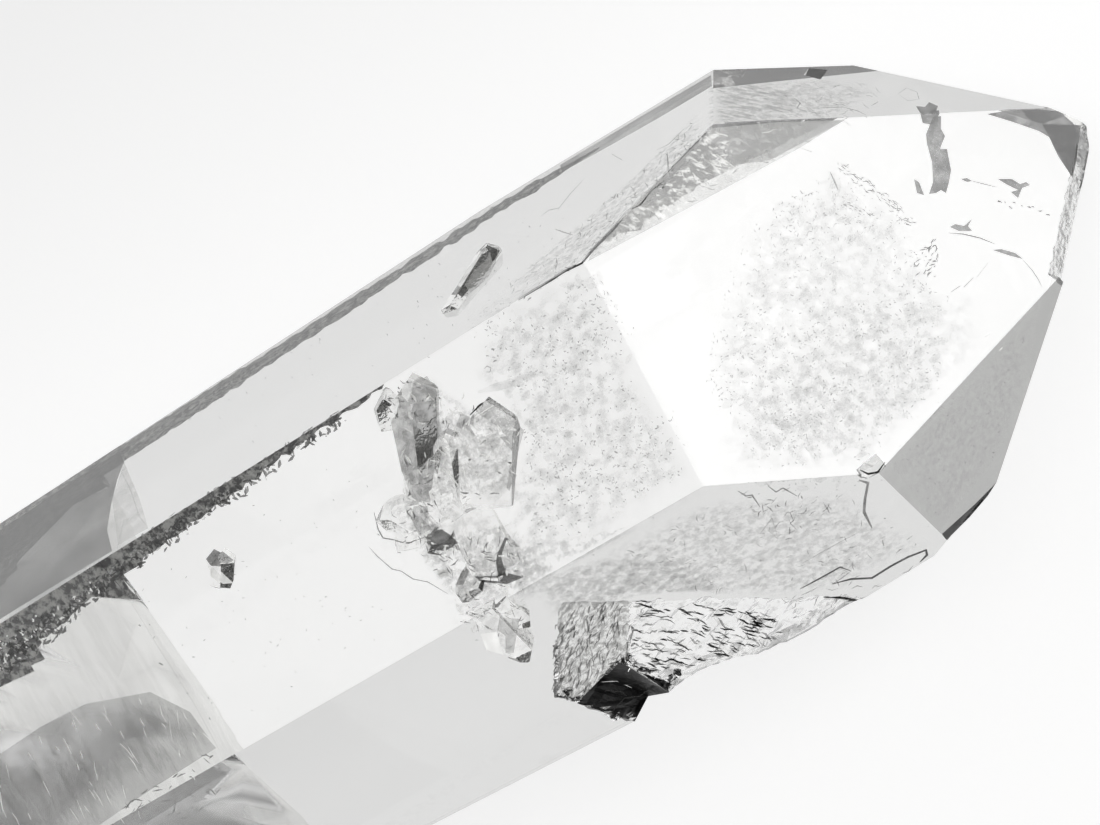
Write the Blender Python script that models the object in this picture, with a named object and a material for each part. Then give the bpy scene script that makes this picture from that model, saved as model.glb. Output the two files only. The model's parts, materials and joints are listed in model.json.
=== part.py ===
"""A clear quartz point that lies on its back prism face, broken base towards -X and tip towards +X.

Everything is laid out from the heel, the corner where the front prism face, the lower prism face and
the front face of the tip meet. X runs along the crystal's long axis towards the tip and Z out of the
front prism face. The finished crystal is moved so that its foot is centred on the world's origin.
"""

import math

import bmesh
import bpy
from mathutils import Matrix, Vector, noise

MM = 0.001

# Driving dimensions, in millimetres
FACE_WIDTH = 18.0
THICKNESS = 1.62 * FACE_WIDTH
BLOCK_REACH = 10.0 * FACE_WIDTH
CUTTER_CLEARANCE = 12.0

# Quartz's own angle between a prism face and the tip face above it, less a right angle
TIP_TILT = 38.21

# Prism faces, each with its turn about the long axis in degrees (0 is +Y, 90 is +Z), how far it leans
# towards the tip in degrees, and its distance from the heel. A face that bulges is two, meeting in a
# very flat ridge.
PRISM_FACES = {
    "front": (90.0, 0.0, 0.0),
    "upper_front": (30.0, -1.1, 0.866 * FACE_WIDTH),
    "upper_back": (-30.0, -3.2, 34.85),
    "upper_back_near_tip": (-30.0, 2.1, 33.95),
    "rest": (-90.0, 0.0, THICKNESS),
    "lower_back": (210.0, -3.1, 19.05),
    "lower_back_near_tip": (210.0, 3.2, 18.68),
    "lower_front": (150.0, 0.0, 0.0),
}

# The six faces of the tip, each with its turn about the long axis and its distance from the heel
TIP_FACES = {
    "front": (90.0, 0.0),
    "upper_front": (30.0, 19.19),
    "upper_back": (-30.0, 37.98),
    "back": (-90.0, 39.78),
    "lower_back": (210.0, 22.3),
    "lower_front": (150.0, 5.99),
}

# The dark chamfer between the tip's lower front face and the lower back prism face
CHAMFER_DEPTH = 0.5
CHAMFER_SHARE = 0.75

# The broken base: a leaning break of two smooth scars, the upper one steeper, with ripples towards the
# front face that spread from where it was struck. Places on it are up the slope and across it.
BASE_LEAN = 35.5
BASE_DISTANCE = 56.0
BASE_ALLOWANCE = 4.0
BASE_SIZE = (66.0, 52.0)
BASE_CELLS = (34, 26)
BASE_SKEW = 0.114
BASE_STRUCK_AT = Vector((21.0, -9.0))
RIPPLE_DEPTH = 0.4
RIPPLE_PITCH = 5.2
RIPPLES_FROM = 3.0
RIPPLES_FULL = 9.0
SCAR_STEEPER = 0.087
SCAR_PIVOT = -9.0
SCAR_TOP = 2.0
SCAR_EDGE = 1.0
SCAR_EDGE_DROP = 6.5
SCAR_EDGE_CURL = 2.2
SCAR_FOOT = -18.0
SCAR_SOFTNESS = 1.3

# The rough strip where the crystal grew against its wall, along the edge between rest and upper back
# faces, from just behind the tip, where it is nothing, to the base
WALL_START = 4.0
WALL_LENGTH = 80.0
WALL_HALF_WIDTH = 6.4
WALL_CELLS = (96, 9)
WALL_DEPTH_NEAR = 0.55
WALL_DEPTH_FAR = 1.15
WALL_DEPTH_POWER = 1.6
WALL_FADE = 12.0
WALL_LIFT = 0.2
WALL_GRAIN = 0.34
WALL_GRAIN_PITCH = 1.1
WALL_FINE_GRAIN = 0.6
WALL_FINE_GRAIN_PITCH = 0.48

# The rough chisel edge between the tip's front face and its lower back face
CHISEL_DEPTH = 0.92
CHISEL_LENGTH = 13.0
CHISEL_WIDTH = 5.0
CHISEL_CELLS = (26, 5)
CHISEL_GRAIN = 0.22

# The damaged part of the lower front prism face. Places on it are x, and how far down it lies from the
# edge with the front face. A fibrous patch slants across the face, and a cracked patch lies beside it.
DAMAGE_END = 12.0
DAMAGE_SIZE = (35.0, 22.5)
DAMAGE_CELLS = (42, 27)
FIBRE_SLANT = 0.585
FIBRE_FROM = -12.2
FIBRE_TO = -5.9
FIBRE_DEPTH = 0.30
FIBRE_THREAD = 0.30
DAMAGE_SLOPE = 1.11
DAMAGE_TOP = 18.6
CRACK_SLANT = 0.52
CRACK_DEPTH = 0.155
CRACK_RIDGES = 0.93
DAMAGE_CLEAR = 0.35
DAMAGE_BACK = -24.0
DAMAGE_BACK_SLANT = 0.297

# The scoop that is broken out of the edge between the lower front and lower back prism faces
SCOOP_START = -24.0
SCOOP_SIZE = (24.0, 11.0)
SCOOP_CELLS = (30, 12)
SCOOP_CENTRE = -12.2
SCOOP_HALF_LENGTH = 7.2
SCOOP_DEPTH = 1.5

# The black pit at the lower end of the fibrous patch, with a steep wall, a slanting end and a floor
# that rises towards the tip
PIT_CORNER = Vector((-19.5, -7.65, -13.25))
PIT_ALONG = Vector((0.306, -0.468, -0.829))
PIT_DEPTH = 2.7
PIT_REACH = 14.0

# Chips, each with its centre, its size and its turns in degrees
CHIPS = {
    "chip_on_heel_ridge": (Vector((9.6, -3.9, -7.3)), Vector((1.9, 1.0, 1.1)), (20.0, 35.0, 15.0)),
    "chip_on_top_ridge": (Vector((17.2, 25.3, -21.2)), Vector((2.2, 1.3, 1.4)), (10.0, 25.0, 40.0)),
    "chip_on_tip": (Vector((32.2, 15.0, -25.4)), Vector((1.5, 1.6, 1.6)), (30.0, 10.0, 25.0)),
    "chip_beside_tip": (Vector((32.3, 10.4, -24.2)), Vector((0.9, 1.1, 1.2)), (5.0, 40.0, 10.0)),
}

# Small crystals grown onto the front face. Each has where its foot and its tip lie on the face, its
# width near the tip, how far it rises in degrees, its turn about its own axis in degrees, and how far
# its sides spread towards the tip in degrees.
FRONT_GROWTHS = {
    "long_growth": ((-18.7, 8.3), (-14.4, 17.2), 3.5, 9.0, 12.0, 5.5),
    "growth_on_long_one": ((-18.0, 14.6), (-17.0, 17.4), 2.0, 12.0, 30.0, 0.0),
    "stout_growth": ((-14.2, 6.6), (-10.0, 13.0), 4.3, 16.0, 3.0, 2.0),
    "growth_between": ((-16.3, 7.6), (-13.6, 12.7), 2.3, 24.0, 20.0, 0.0),
    "growth_between_low": ((-17.4, 8.9), (-15.7, 6.2), 2.0, 30.0, 8.0, 0.0),
    "pale_growth": ((-19.3, 8.4), (-22.3, 9.4), 3.0, 22.0, 25.0, 0.0),
    "pale_growth_low": ((-19.2, 7.6), (-22.0, 6.6), 2.1, 14.0, 5.0, 0.0),
    "dark_lens_growth": ((-17.4, 6.6), (-20.0, 5.4), 1.7, 20.0, 30.0, 0.0),
    "square_growth": ((-15.9, 6.4), (-16.1, 1.1), 3.5, 12.0, 0.0, 3.0),
    "square_growth_side": ((-15.1, 4.6), (-14.6, 1.4), 1.6, 18.0, 18.0, 0.0),
    "low_growth": ((-17.6, 2.8), (-19.4, 1.1), 1.8, 22.0, 14.0, 0.0),
    "lone_growth": ((-34.9, 11.0), (-33.2, 13.3), 1.7, 14.0, 10.0, 0.0),
}

# Small crystals on other prism faces. Each has the face, its foot and its tip, and the rest as above.
SIDE_GROWTHS = {
    "growth_over_edge": ("lower_front", (-18.4, 0.6, 0.0), (-18.6, -3.2, -5.8), 2.1, 10.0, 20.0, 0.0),
    "growth_over_edge_small": ("lower_front", (-17.2, -0.2, 0.0), (-16.7, -1.9, -3.2), 1.6, 16.0, 0.0, 0.0),
    "growth_on_upper_front": ("upper_front", (-11.6, 20.7, -4.9), (-7.8, 24.0, -10.6), 1.8, 4.0, 22.0, 0.0),
}

GROWTH_SINK = 0.42


def face_normal(turn: float, lean: float) -> Vector:
    """The outward direction of a face turned about the long axis and leaning towards the tip."""
    turn, lean = math.radians(turn), math.radians(lean)
    return Vector((math.sin(lean), math.cos(lean) * math.cos(turn), math.cos(lean) * math.sin(turn)))


def prism_normal(name: str) -> Vector:
    """The outward direction of one of the prism faces."""
    turn, lean, _ = PRISM_FACES[name]
    return face_normal(turn, lean)


def tip_normal(name: str) -> Vector:
    """The outward direction of one of the faces of the tip."""
    return face_normal(TIP_FACES[name][0], TIP_TILT)


def meeting_point(*faces: tuple[Vector, float]) -> Vector:
    """The corner where three flat faces meet, each given by its outward direction and its distance."""
    return Matrix([normal for normal, _ in faces]).inverted() @ Vector([distance for _, distance in faces])


def prism_face(name: str) -> tuple[Vector, float]:
    """The outward direction and the distance of one of the prism faces."""
    return prism_normal(name), PRISM_FACES[name][2]


def tip_face(name: str) -> tuple[Vector, float]:
    """The outward direction and the distance of one of the faces of the tip."""
    return tip_normal(name), TIP_FACES[name][1]


def cut_block(reach: float, faces: list[tuple[Vector, float]]) -> bmesh.types.BMesh:
    """A block of the given reach with everything outside each flat face cut away."""
    block = bmesh.new()
    bmesh.ops.create_cube(block, size=2 * reach)
    for normal, distance in faces:
        everything = block.verts[:] + block.edges[:] + block.faces[:]
        cut = bmesh.ops.bisect_plane(
            block,
            geom=everything,
            dist=1e-5,
            plane_co=normal * distance,
            plane_no=normal,
            clear_outer=True,
        )
        rim = [item for item in cut["geom_cut"] if isinstance(item, bmesh.types.BMEdge)]
        if rim:
            bmesh.ops.contextual_create(block, geom=rim)
    bmesh.ops.recalc_face_normals(block, faces=block.faces)
    return block


def as_object(name: str, shape: bmesh.types.BMesh, parent: bpy.types.Object) -> bpy.types.Object:
    """Turns a shape in millimetres into an object in metres under the heel."""
    bmesh.ops.scale(shape, vec=Vector((MM, MM, MM)), verts=shape.verts)
    mesh = bpy.data.meshes.new(name)
    shape.to_mesh(mesh)
    shape.free()
    made = bpy.data.objects.new(name, mesh)
    bpy.context.scene.collection.objects.link(made)
    made.parent = parent
    return made


def combine(body: bpy.types.Object, helper: bpy.types.Object, operation: str) -> None:
    """Cuts a helper from the body or joins it on, and leaves the helper out of the finished part."""
    helper.hide_render = True
    helper.display_type = "WIRE"
    step = body.modifiers.new(helper.name, "BOOLEAN")
    step.operation = operation
    step.solver = "EXACT"
    step.object = helper


def relief_cutter(frame: Matrix, size: tuple, cells: tuple, depth) -> bmesh.types.BMesh:
    """A closed slab whose under side is a height field.

    frame holds where the field's corner is and its along, across and outward directions. depth gives
    how far below that plane the under side lies, at a distance along and a distance across.
    """
    shape = bmesh.new()
    steps_along, steps_across = cells
    rows = {}
    for side in ("under", "top"):
        for i in range(steps_along + 1):
            for j in range(steps_across + 1):
                along = size[0] * i / steps_along
                across = size[1] * j / steps_across
                height = CUTTER_CLEARANCE if side == "top" else -depth(along, across)
                rows[side, i, j] = shape.verts.new(frame @ Vector((along, across, height)))
    for i in range(steps_along):
        for j in range(steps_across):
            ring = ((i, j), (i, j + 1), (i + 1, j + 1), (i + 1, j))
            shape.faces.new([rows["under", a, b] for a, b in ring])
            shape.faces.new([rows["top", a, b] for a, b in reversed(ring)])
    border = [(i, 0) for i in range(steps_along)]
    border += [(steps_along, j) for j in range(steps_across)]
    border += [(i, steps_across) for i in range(steps_along, 0, -1)]
    border += [(0, j) for j in range(steps_across, 0, -1)]
    for here, after in zip(border, border[1:] + border[:1]):
        wall = [("under", *here), ("under", *after), ("top", *after), ("top", *here)]
        shape.faces.new([rows[key] for key in wall])
    bmesh.ops.recalc_face_normals(shape, faces=shape.faces)
    return shape


def frame_of(corner: Vector, along: Vector, outward: Vector) -> Matrix:
    """A frame with its third direction outward and its first along, turned square to it."""
    outward = outward.normalized()
    along = (along - outward * along.dot(outward)).normalized()
    across = outward.cross(along)
    return Matrix.Translation(corner) @ Matrix((along, across, outward)).transposed().to_4x4()


def smooth_step(low: float, high: float, value: float) -> float:
    """0 below low, 1 above high, and a smooth rise between."""
    share = min(max((value - low) / (high - low), 0.0), 1.0)
    return share * share * (3 - 2 * share)


def base_normal() -> Vector:
    """The outward direction of the broken base, which leans so that the front face is the longest."""
    lean = math.radians(BASE_LEAN)
    return Vector((-math.cos(lean), 0.0, -math.sin(lean)))


def crystal_body(heel: bpy.types.Object) -> bpy.types.Object:
    """The bare six-sided point, a little too long at its base."""
    faces = [(face_normal(turn, lean), distance) for turn, lean, distance in PRISM_FACES.values()]
    faces += [(face_normal(turn, TIP_TILT), distance) for turn, distance in TIP_FACES.values()]
    chamfer = CHAMFER_SHARE * tip_normal("lower_front") + prism_normal("lower_back_near_tip")
    chamfer.normalize()
    below, above = prism_face("lower_back_near_tip"), prism_face("lower_front")
    corner = meeting_point(tip_face("lower_front"), below, above)
    faces.append((chamfer, corner.dot(chamfer) - CHAMFER_DEPTH))
    faces.append((base_normal(), BASE_DISTANCE + BASE_ALLOWANCE))
    return as_object("quartz_point", cut_block(BLOCK_REACH, faces), heel)


def base_break(heel: bpy.types.Object) -> bpy.types.Object:
    """Cutter for the broken base: two smooth scars and a rippled part, across the crystal's lower end."""
    outward = base_normal()
    along = Vector((outward.z, 0.0, -outward.x))
    middle = Vector((0.0, 0.5 * FACE_WIDTH, -0.5 * THICKNESS))
    middle.x = (BASE_DISTANCE - middle.dot(outward)) / outward.x
    frame = frame_of(middle, along, outward)
    corner = frame @ Vector((-BASE_SIZE[0] / 2, -BASE_SIZE[1] / 2, 0.0))
    frame.translation = corner

    def depth(along: float, across: float) -> float:
        place = Vector((along - BASE_SIZE[0] / 2, across - BASE_SIZE[1] / 2))
        edge = SCAR_EDGE - SCAR_EDGE_DROP * math.exp((SCAR_FOOT - place.x) / SCAR_EDGE_CURL)
        edge = max(edge, -BASE_SIZE[1]) + noise.noise((place / 4).to_3d())
        steeper = smooth_step(-SCAR_SOFTNESS, SCAR_SOFTNESS, place.y - edge)
        rise = steeper * SCAR_STEEPER * (min(place.x, SCAR_TOP) - SCAR_PIVOT)
        away = (place - BASE_STRUCK_AT).length
        ripple = math.cos(2 * math.pi * away / RIPPLE_PITCH + noise.noise((place / 9).to_3d()))
        ripple *= RIPPLE_DEPTH * smooth_step(RIPPLES_FROM, RIPPLES_FULL, place.x)
        return ripple - rise - BASE_SKEW * place.y

    return as_object("base_break", relief_cutter(frame, BASE_SIZE, BASE_CELLS, depth), heel)


def wall_edge(x: float) -> float:
    """How far up the edge between the rest face and the upper back face lies, at a place along X."""
    reaches = []
    for name in ("upper_back", "upper_back_near_tip"):
        normal, distance = prism_face(name)
        reaches.append((distance - normal.x * x + normal.z * THICKNESS) / normal.y)
    return min(reaches)


def wall_strip(heel: bpy.types.Object) -> bpy.types.Object:
    """Cutter for the rough strip along the edge between the rest face and the upper back face."""
    outward = (prism_normal("rest") + face_normal(PRISM_FACES["upper_back"][0], 0.0)).normalized()
    corner = Vector((WALL_START, wall_edge(WALL_START), -THICKNESS))
    frame = frame_of(corner, Vector((-1.0, 0.0, 0.0)), outward)
    frame.translation = frame @ Vector((0.0, -WALL_HALF_WIDTH, 0.0))

    def depth(along: float, across: float) -> float:
        share = along / WALL_LENGTH
        below_edge = WALL_DEPTH_NEAR * smooth_step(0.0, WALL_FADE, along)
        below_edge += WALL_DEPTH_FAR * share**WALL_DEPTH_POWER
        fall = outward.y * (corner.y - wall_edge(WALL_START - along))
        place = Vector((along, across, 0.0))
        grain = noise.noise(place / WALL_GRAIN_PITCH)
        grain += WALL_FINE_GRAIN * noise.noise(place / WALL_FINE_GRAIN_PITCH)
        grain *= WALL_GRAIN * smooth_step(0.0, WALL_FADE, along)
        return below_edge + fall + grain - WALL_LIFT

    size = (WALL_LENGTH, 2 * WALL_HALF_WIDTH)
    return as_object("wall_strip", relief_cutter(frame, size, WALL_CELLS, depth), heel)


def chisel_edge(heel: bpy.types.Object) -> bpy.types.Object:
    """Cutter for the rough narrow edge between the tip's front and lower back faces."""
    front, back = tip_normal("front"), tip_normal("lower_back")
    outward = (front + back).normalized()
    along = front.cross(back).normalized()
    start = meeting_point(tip_face("front"), tip_face("lower_back"), tip_face("lower_front")) - along
    frame = frame_of(start, along, outward)
    frame.translation = frame @ Vector((0.0, -CHISEL_WIDTH / 2, 0.0))

    def depth(along: float, across: float) -> float:
        grain = noise.noise(Vector((along * 1.3, across * 1.3, 21.0)))
        return CHISEL_DEPTH + CHISEL_GRAIN * grain

    size = (CHISEL_LENGTH, CHISEL_WIDTH)
    return as_object("chisel_edge", relief_cutter(frame, size, CHISEL_CELLS, depth), heel)


def damaged_side(heel: bpy.types.Object) -> bpy.types.Object:
    """Cutter for the fibrous patch and the cracked patch in the lower front prism face."""
    frame = frame_of(Vector((DAMAGE_END, 0.0, 0.0)), Vector((-1.0, 0.0, 0.0)), prism_normal("lower_front"))

    def depth(along: float, down: float) -> float:
        x = DAMAGE_END - along
        slanted = x + FIBRE_SLANT * down
        low = smooth_step(DAMAGE_TOP - 1.2, DAMAGE_TOP + 1.8, down - DAMAGE_SLOPE * x)
        low *= smooth_step(-0.2, 0.5, x - DAMAGE_BACK - DAMAGE_BACK_SLANT * down)
        past_fibres = smooth_step(FIBRE_TO - 0.3, FIBRE_TO + 0.3, slanted)
        fibres = low * smooth_step(FIBRE_FROM - 0.4, FIBRE_FROM + 0.4, slanted) * (1 - past_fibres)
        thread = noise.noise(Vector((slanted * 1.5, down * 0.25, 5.0)))
        cracked = low * past_fibres
        crack = x - CRACK_SLANT * down
        ridge = abs(noise.noise(Vector((crack * 1.15, (down + CRACK_SLANT * x) * 0.3, 11.0))))
        worn = fibres * (FIBRE_DEPTH + FIBRE_THREAD * thread)
        worn += cracked * (CRACK_DEPTH + CRACK_RIDGES * ridge)
        return worn - DAMAGE_CLEAR * (1 - max(fibres, cracked))

    return as_object("damaged_side", relief_cutter(frame, DAMAGE_SIZE, DAMAGE_CELLS, depth), heel)


def edge_scoop(heel: bpy.types.Object) -> bpy.types.Object:
    """Cutter for the scoop that is broken out of the crystal's lower edge."""
    below, above = prism_face("lower_back"), prism_face("lower_front")
    middle = meeting_point(below, above, (Vector((1.0, 0.0, 0.0)), SCOOP_CENTRE))
    corner = Vector((SCOOP_START, middle.y, middle.z - SCOOP_SIZE[1] / 2))
    frame = frame_of(corner, Vector((1.0, 0.0, 0.0)), Vector((0.0, -1.0, 0.0)))

    def depth(along: float, across: float) -> float:
        x = SCOOP_START + along
        bite = math.exp(-1.6 * ((x - SCOOP_CENTRE) / SCOOP_HALF_LENGTH) ** 2)
        height = (across - SCOOP_SIZE[1] / 2) / SCOOP_SIZE[1]
        grain = noise.noise(Vector((x * 0.5, across * 0.9, 17.0)))
        return SCOOP_DEPTH * bite * (1 - 0.7 * height * height) + 0.5 * grain * bite - 0.9 * (1 - bite)

    return as_object("edge_scoop", relief_cutter(frame, SCOOP_SIZE, SCOOP_CELLS, depth), heel)


def pit(heel: bpy.types.Object) -> bpy.types.Object:
    """Cutter for the black pit: a steep wall, a slanting end and a floor that rises towards the tip."""
    wall = (Vector((0.0, -0.97, -0.24)).normalized(), 0.0)
    end = (Vector((-0.77, -0.06, -0.64)).normalized(), 0.0)
    floor_slope = Vector((0.0, 0.5, -1.0))
    floor = (floor_slope.normalized(), PIT_DEPTH / floor_slope.length)
    shape = cut_block(PIT_REACH, [wall, end, floor])
    frame = frame_of(PIT_CORNER, PIT_ALONG, prism_normal("lower_front"))
    bmesh.ops.transform(shape, matrix=frame, verts=shape.verts)
    return as_object("pit", shape, heel)


def flat_chip(name: str, centre: Vector, size: Vector, turns: tuple, heel) -> bpy.types.Object:
    """Cutter for a chip or pit with flat walls: a turned block."""
    shape = bmesh.new()
    bmesh.ops.create_cube(shape, size=1.0)
    turn = Matrix.Identity(4)
    for angle, axis in zip(turns, "XYZ"):
        turn = Matrix.Rotation(math.radians(angle), 4, axis) @ turn
    placed = Matrix.Translation(centre) @ turn @ Matrix.Diagonal(size.to_4d())
    bmesh.ops.transform(shape, matrix=placed, verts=shape.verts)
    return as_object(name, shape, heel)


def small_point(width: float, length: float, flare: float) -> bmesh.types.BMesh:
    """A small six-sided crystal along +X from the origin, with three large and three small tip faces."""
    lean = math.radians(flare)
    shoulder = length - 0.6 * width
    faces = [(Vector((-1.0, 0.0, 0.0)), 0.0)]
    for number in range(6):
        turn = 60.0 * number
        reach = 0.5 * width * (1.0 + 0.12 * math.cos(math.radians(turn + 40.0)))
        faces.append((face_normal(turn, -flare), reach * math.cos(lean) - shoulder * math.sin(lean)))
        step_back = 0.16 * width if number % 2 else 0.0
        tip_distance = length * math.sin(math.radians(TIP_TILT)) + step_back
        faces.append((face_normal(turn, TIP_TILT), tip_distance))
    return cut_block(4 * length, faces)


def grow(name: str, foot: Vector, tip: Vector, face: Vector, form: tuple, heel) -> bpy.types.Object:
    """One small crystal whose axis starts just under a face and rises out of it.

    form holds its width, its rise, its turn about its own axis and the spread of its sides.
    """
    width, rise, turn, flare = form
    run = tip - foot
    flat = (run - face * run.dot(face)).normalized()
    rise = math.radians(rise)
    axis = flat * math.cos(rise) + face * math.sin(rise)
    side = face.cross(axis).normalized()
    placed = Matrix((axis, side, axis.cross(side))).transposed().to_4x4()
    placed = Matrix.Translation(foot - face * GROWTH_SINK) @ placed
    placed = placed @ Matrix.Rotation(math.radians(turn), 4, "X")
    shape = small_point(width, run.length, flare)
    bmesh.ops.transform(shape, matrix=placed, verts=shape.verts)
    return as_object(name, shape, heel)


def growths(heel: bpy.types.Object) -> list[bpy.types.Object]:
    """All the small crystals that grew onto the large one."""
    made = []
    for name, (foot, tip, *form) in FRONT_GROWTHS.items():
        ends = (Vector((*foot, 0.0)), Vector((*tip, 0.0)))
        made.append(grow(name, *ends, prism_normal("front"), form, heel))
    for name, (face, foot, tip, *form) in SIDE_GROWTHS.items():
        normal, distance = prism_face(face)
        ends = [Vector(end) for end in (foot, tip)]
        ends = [end + normal * (distance - end.dot(normal)) for end in ends]
        made.append(grow(name, *ends, normal, form, heel))
    return made


def clear_quartz() -> bpy.types.Material:
    """Colourless quartz, with the faint warm grey of its base."""
    material = bpy.data.materials.new("clear_quartz")
    material.use_nodes = True
    shader = material.node_tree.nodes["Principled BSDF"]
    shader.inputs["Base Color"].default_value = (0.95, 0.955, 0.945, 1.0)
    shader.inputs["Roughness"].default_value = 0.03
    shader.inputs["Metallic"].default_value = 0.0
    shader.inputs["IOR"].default_value = 1.544
    shader.inputs["Transmission Weight"].default_value = 1.0
    return material


def centre_on_foot(body: bpy.types.Object, heel: bpy.types.Object) -> None:
    """Moves the heel, and all that hangs on it, so that the foot's centre is the world's origin."""
    bpy.context.view_layer.update()
    finished = body.evaluated_get(bpy.context.evaluated_depsgraph_get())
    mesh = finished.to_mesh()
    corners = [vertex.co.copy() for vertex in mesh.vertices]
    finished.to_mesh_clear()
    low = Vector(min(corner[k] for corner in corners) for k in range(3))
    high = Vector(max(corner[k] for corner in corners) for k in range(3))
    heel.location = Vector((-(low.x + high.x) / 2, -(low.y + high.y) / 2, -low.z))


def main() -> None:
    """Builds the crystal."""
    for old in list(bpy.data.objects):
        bpy.data.objects.remove(old)
    heel = bpy.data.objects.new("heel", None)
    bpy.context.scene.collection.objects.link(heel)
    body = crystal_body(heel)
    body.data.materials.append(clear_quartz())
    cutters = [make(heel) for make in (base_break, wall_strip, chisel_edge, damaged_side, edge_scoop, pit)]
    cutters += [flat_chip(name, *chip, heel) for name, chip in CHIPS.items()]
    for cutter in cutters:
        combine(body, cutter, "DIFFERENCE")
    for growth in growths(heel):
        combine(body, growth, "UNION")
    closing = body.modifiers.new("close_slivers", "WELD")
    closing.merge_threshold = 0.00002
    centre_on_foot(body, heel)


main()
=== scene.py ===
"""A clear quartz point lying on a pale floor: its finish, its inner fractures, the floor, light and camera.

Places are given in millimetres from the heel, the corner where the front prism face, the lower prism
face and the front face of the tip meet. X runs along the crystal towards its tip and Z out of its front
prism face. Marks inside the crystal are given by where the photograph shows them, the face they are
seen through and how deep they lie under it.
"""

import json
import logging
import math
import random
from collections.abc import Iterable
from dataclasses import dataclass, field
from enum import Enum
from functools import cache
from typing import Protocol

import bpy
from mathutils import Matrix, Vector

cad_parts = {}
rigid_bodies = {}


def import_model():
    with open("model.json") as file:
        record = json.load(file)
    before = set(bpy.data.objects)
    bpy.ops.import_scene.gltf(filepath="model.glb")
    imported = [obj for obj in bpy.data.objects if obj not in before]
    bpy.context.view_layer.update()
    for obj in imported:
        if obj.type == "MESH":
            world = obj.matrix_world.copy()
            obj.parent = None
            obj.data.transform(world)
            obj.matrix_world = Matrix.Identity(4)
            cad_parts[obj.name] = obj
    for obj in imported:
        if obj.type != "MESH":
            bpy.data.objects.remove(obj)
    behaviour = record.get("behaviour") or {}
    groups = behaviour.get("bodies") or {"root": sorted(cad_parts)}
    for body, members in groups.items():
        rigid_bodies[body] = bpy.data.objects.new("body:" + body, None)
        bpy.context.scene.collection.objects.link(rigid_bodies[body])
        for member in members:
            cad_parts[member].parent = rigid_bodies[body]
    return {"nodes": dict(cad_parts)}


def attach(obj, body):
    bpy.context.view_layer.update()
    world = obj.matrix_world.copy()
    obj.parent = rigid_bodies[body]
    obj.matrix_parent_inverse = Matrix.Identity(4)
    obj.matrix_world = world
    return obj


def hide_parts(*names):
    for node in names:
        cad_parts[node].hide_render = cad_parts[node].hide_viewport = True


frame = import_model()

LOG = logging.getLogger("quartz_point")
MM = 0.001
QUARTZ_IOR = 1.544
FRACTURE_IOR = 1.1
WHITE_LIGHT = (1.0, 1.0, 1.0, 1.0)
WARM = 0.98
WARM_DARK = 0.97
NODE = "quartz_point"
BODY = "root"
CLOUD_MIDDLE = "cloud_middle"

Pixel = tuple[float, float]
Triple = tuple[float, float, float]
Quad = tuple[float, float, float, float]


class Side(Enum):
    """A flat face of the crystal: its turn about the long axis, its lean and its distance in mm."""

    FRONT = (90.0, 0.0, 0.0)
    UPPER = (30.0, -1.1, 15.588)
    LOWER = (150.0, 0.0, 0.0)
    UPPER_BACK = (-30.0, -3.2, 34.85)
    UPPER_BACK_NEAR_TIP = (-30.0, 2.1, 33.95)
    REST = (-90.0, 0.0, 29.16)
    LOWER_BACK = (210.0, -3.1, 19.05)
    LOWER_BACK_NEAR_TIP = (210.0, 3.2, 18.68)
    TIP_FRONT = (90.0, 38.21, 0.0)
    TIP_UPPER = (30.0, 38.21, 19.19)
    TIP_UPPER_BACK = (-30.0, 38.21, 37.98)
    TIP_BACK = (-90.0, 38.21, 39.78)
    TIP_LOWER_BACK = (210.0, 38.21, 22.3)
    TIP_LOWER = (150.0, 38.21, 5.99)

    @property
    def normal(self) -> Vector:
        """The face's outward direction.

        Returns:
            The direction, of length one.
        """
        turn, lean = math.radians(self.value[0]), math.radians(self.value[1])
        across = math.cos(lean)
        return Vector((math.sin(lean), across * math.cos(turn), across * math.sin(turn)))

    @property
    def distance(self) -> float:
        """How far the face lies from the heel, in mm."""
        return self.value[2]


class Zone(Enum):
    """Parts of the crystal's surface that are finished differently, and four clear faces darkened as painted
    shade, in the order of its materials.
    """

    CLEAR = 0
    WALL = 1
    BASE = 2
    CHISEL = 3
    FIBROUS = 4
    CRACKED = 5
    PIT = 6
    GROWTH = 7
    CHAMFER = 8
    # UPPER, LOWER, TIP_UPPER and TIP_LOWER are clear quartz with painted shade: each flat face is darkened
    # by its own grey tint.
    UPPER = 9
    LOWER = 10
    TIP_UPPER = 11
    TIP_LOWER = 12
    SPLIT = 13


@dataclass(frozen=True)
class Heel:
    """The point that all places are measured from, worked out from the solid's box."""

    low: Vector
    high: Vector
    tip_past_heel: float = 31.81
    reach_below: float = 10.77
    height: float = 29.16

    @classmethod
    def of(cls, node: bpy.types.Object) -> "Heel":
        """Finds the heel of a solid.

        Args:
            node: the solid's object.

        Returns:
            Its heel.
        """
        corners = [node.matrix_world @ Vector(corner) for corner in node.bound_box]
        low = Vector([min(corner[axis] for corner in corners) for axis in range(3)])
        high = Vector([max(corner[axis] for corner in corners) for axis in range(3)])
        return cls(low, high)

    @property
    def origin(self) -> Vector:
        """Where the heel lies in the scene.

        Returns:
            Its place in metres.
        """
        return Vector(
            (
                self.high.x - self.tip_past_heel * MM,
                self.low.y + self.reach_below * MM,
                self.low.z + self.height * MM,
            )
        )

    def at(self, place: Iterable[float]) -> Vector:
        """A place given in mm from the heel, in metres in the scene."""
        return self.origin + Vector(place) * MM

    def local(self, point: Vector) -> Vector:
        """A point of the scene in millimetres from the heel."""
        return (point - self.origin) / MM


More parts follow.
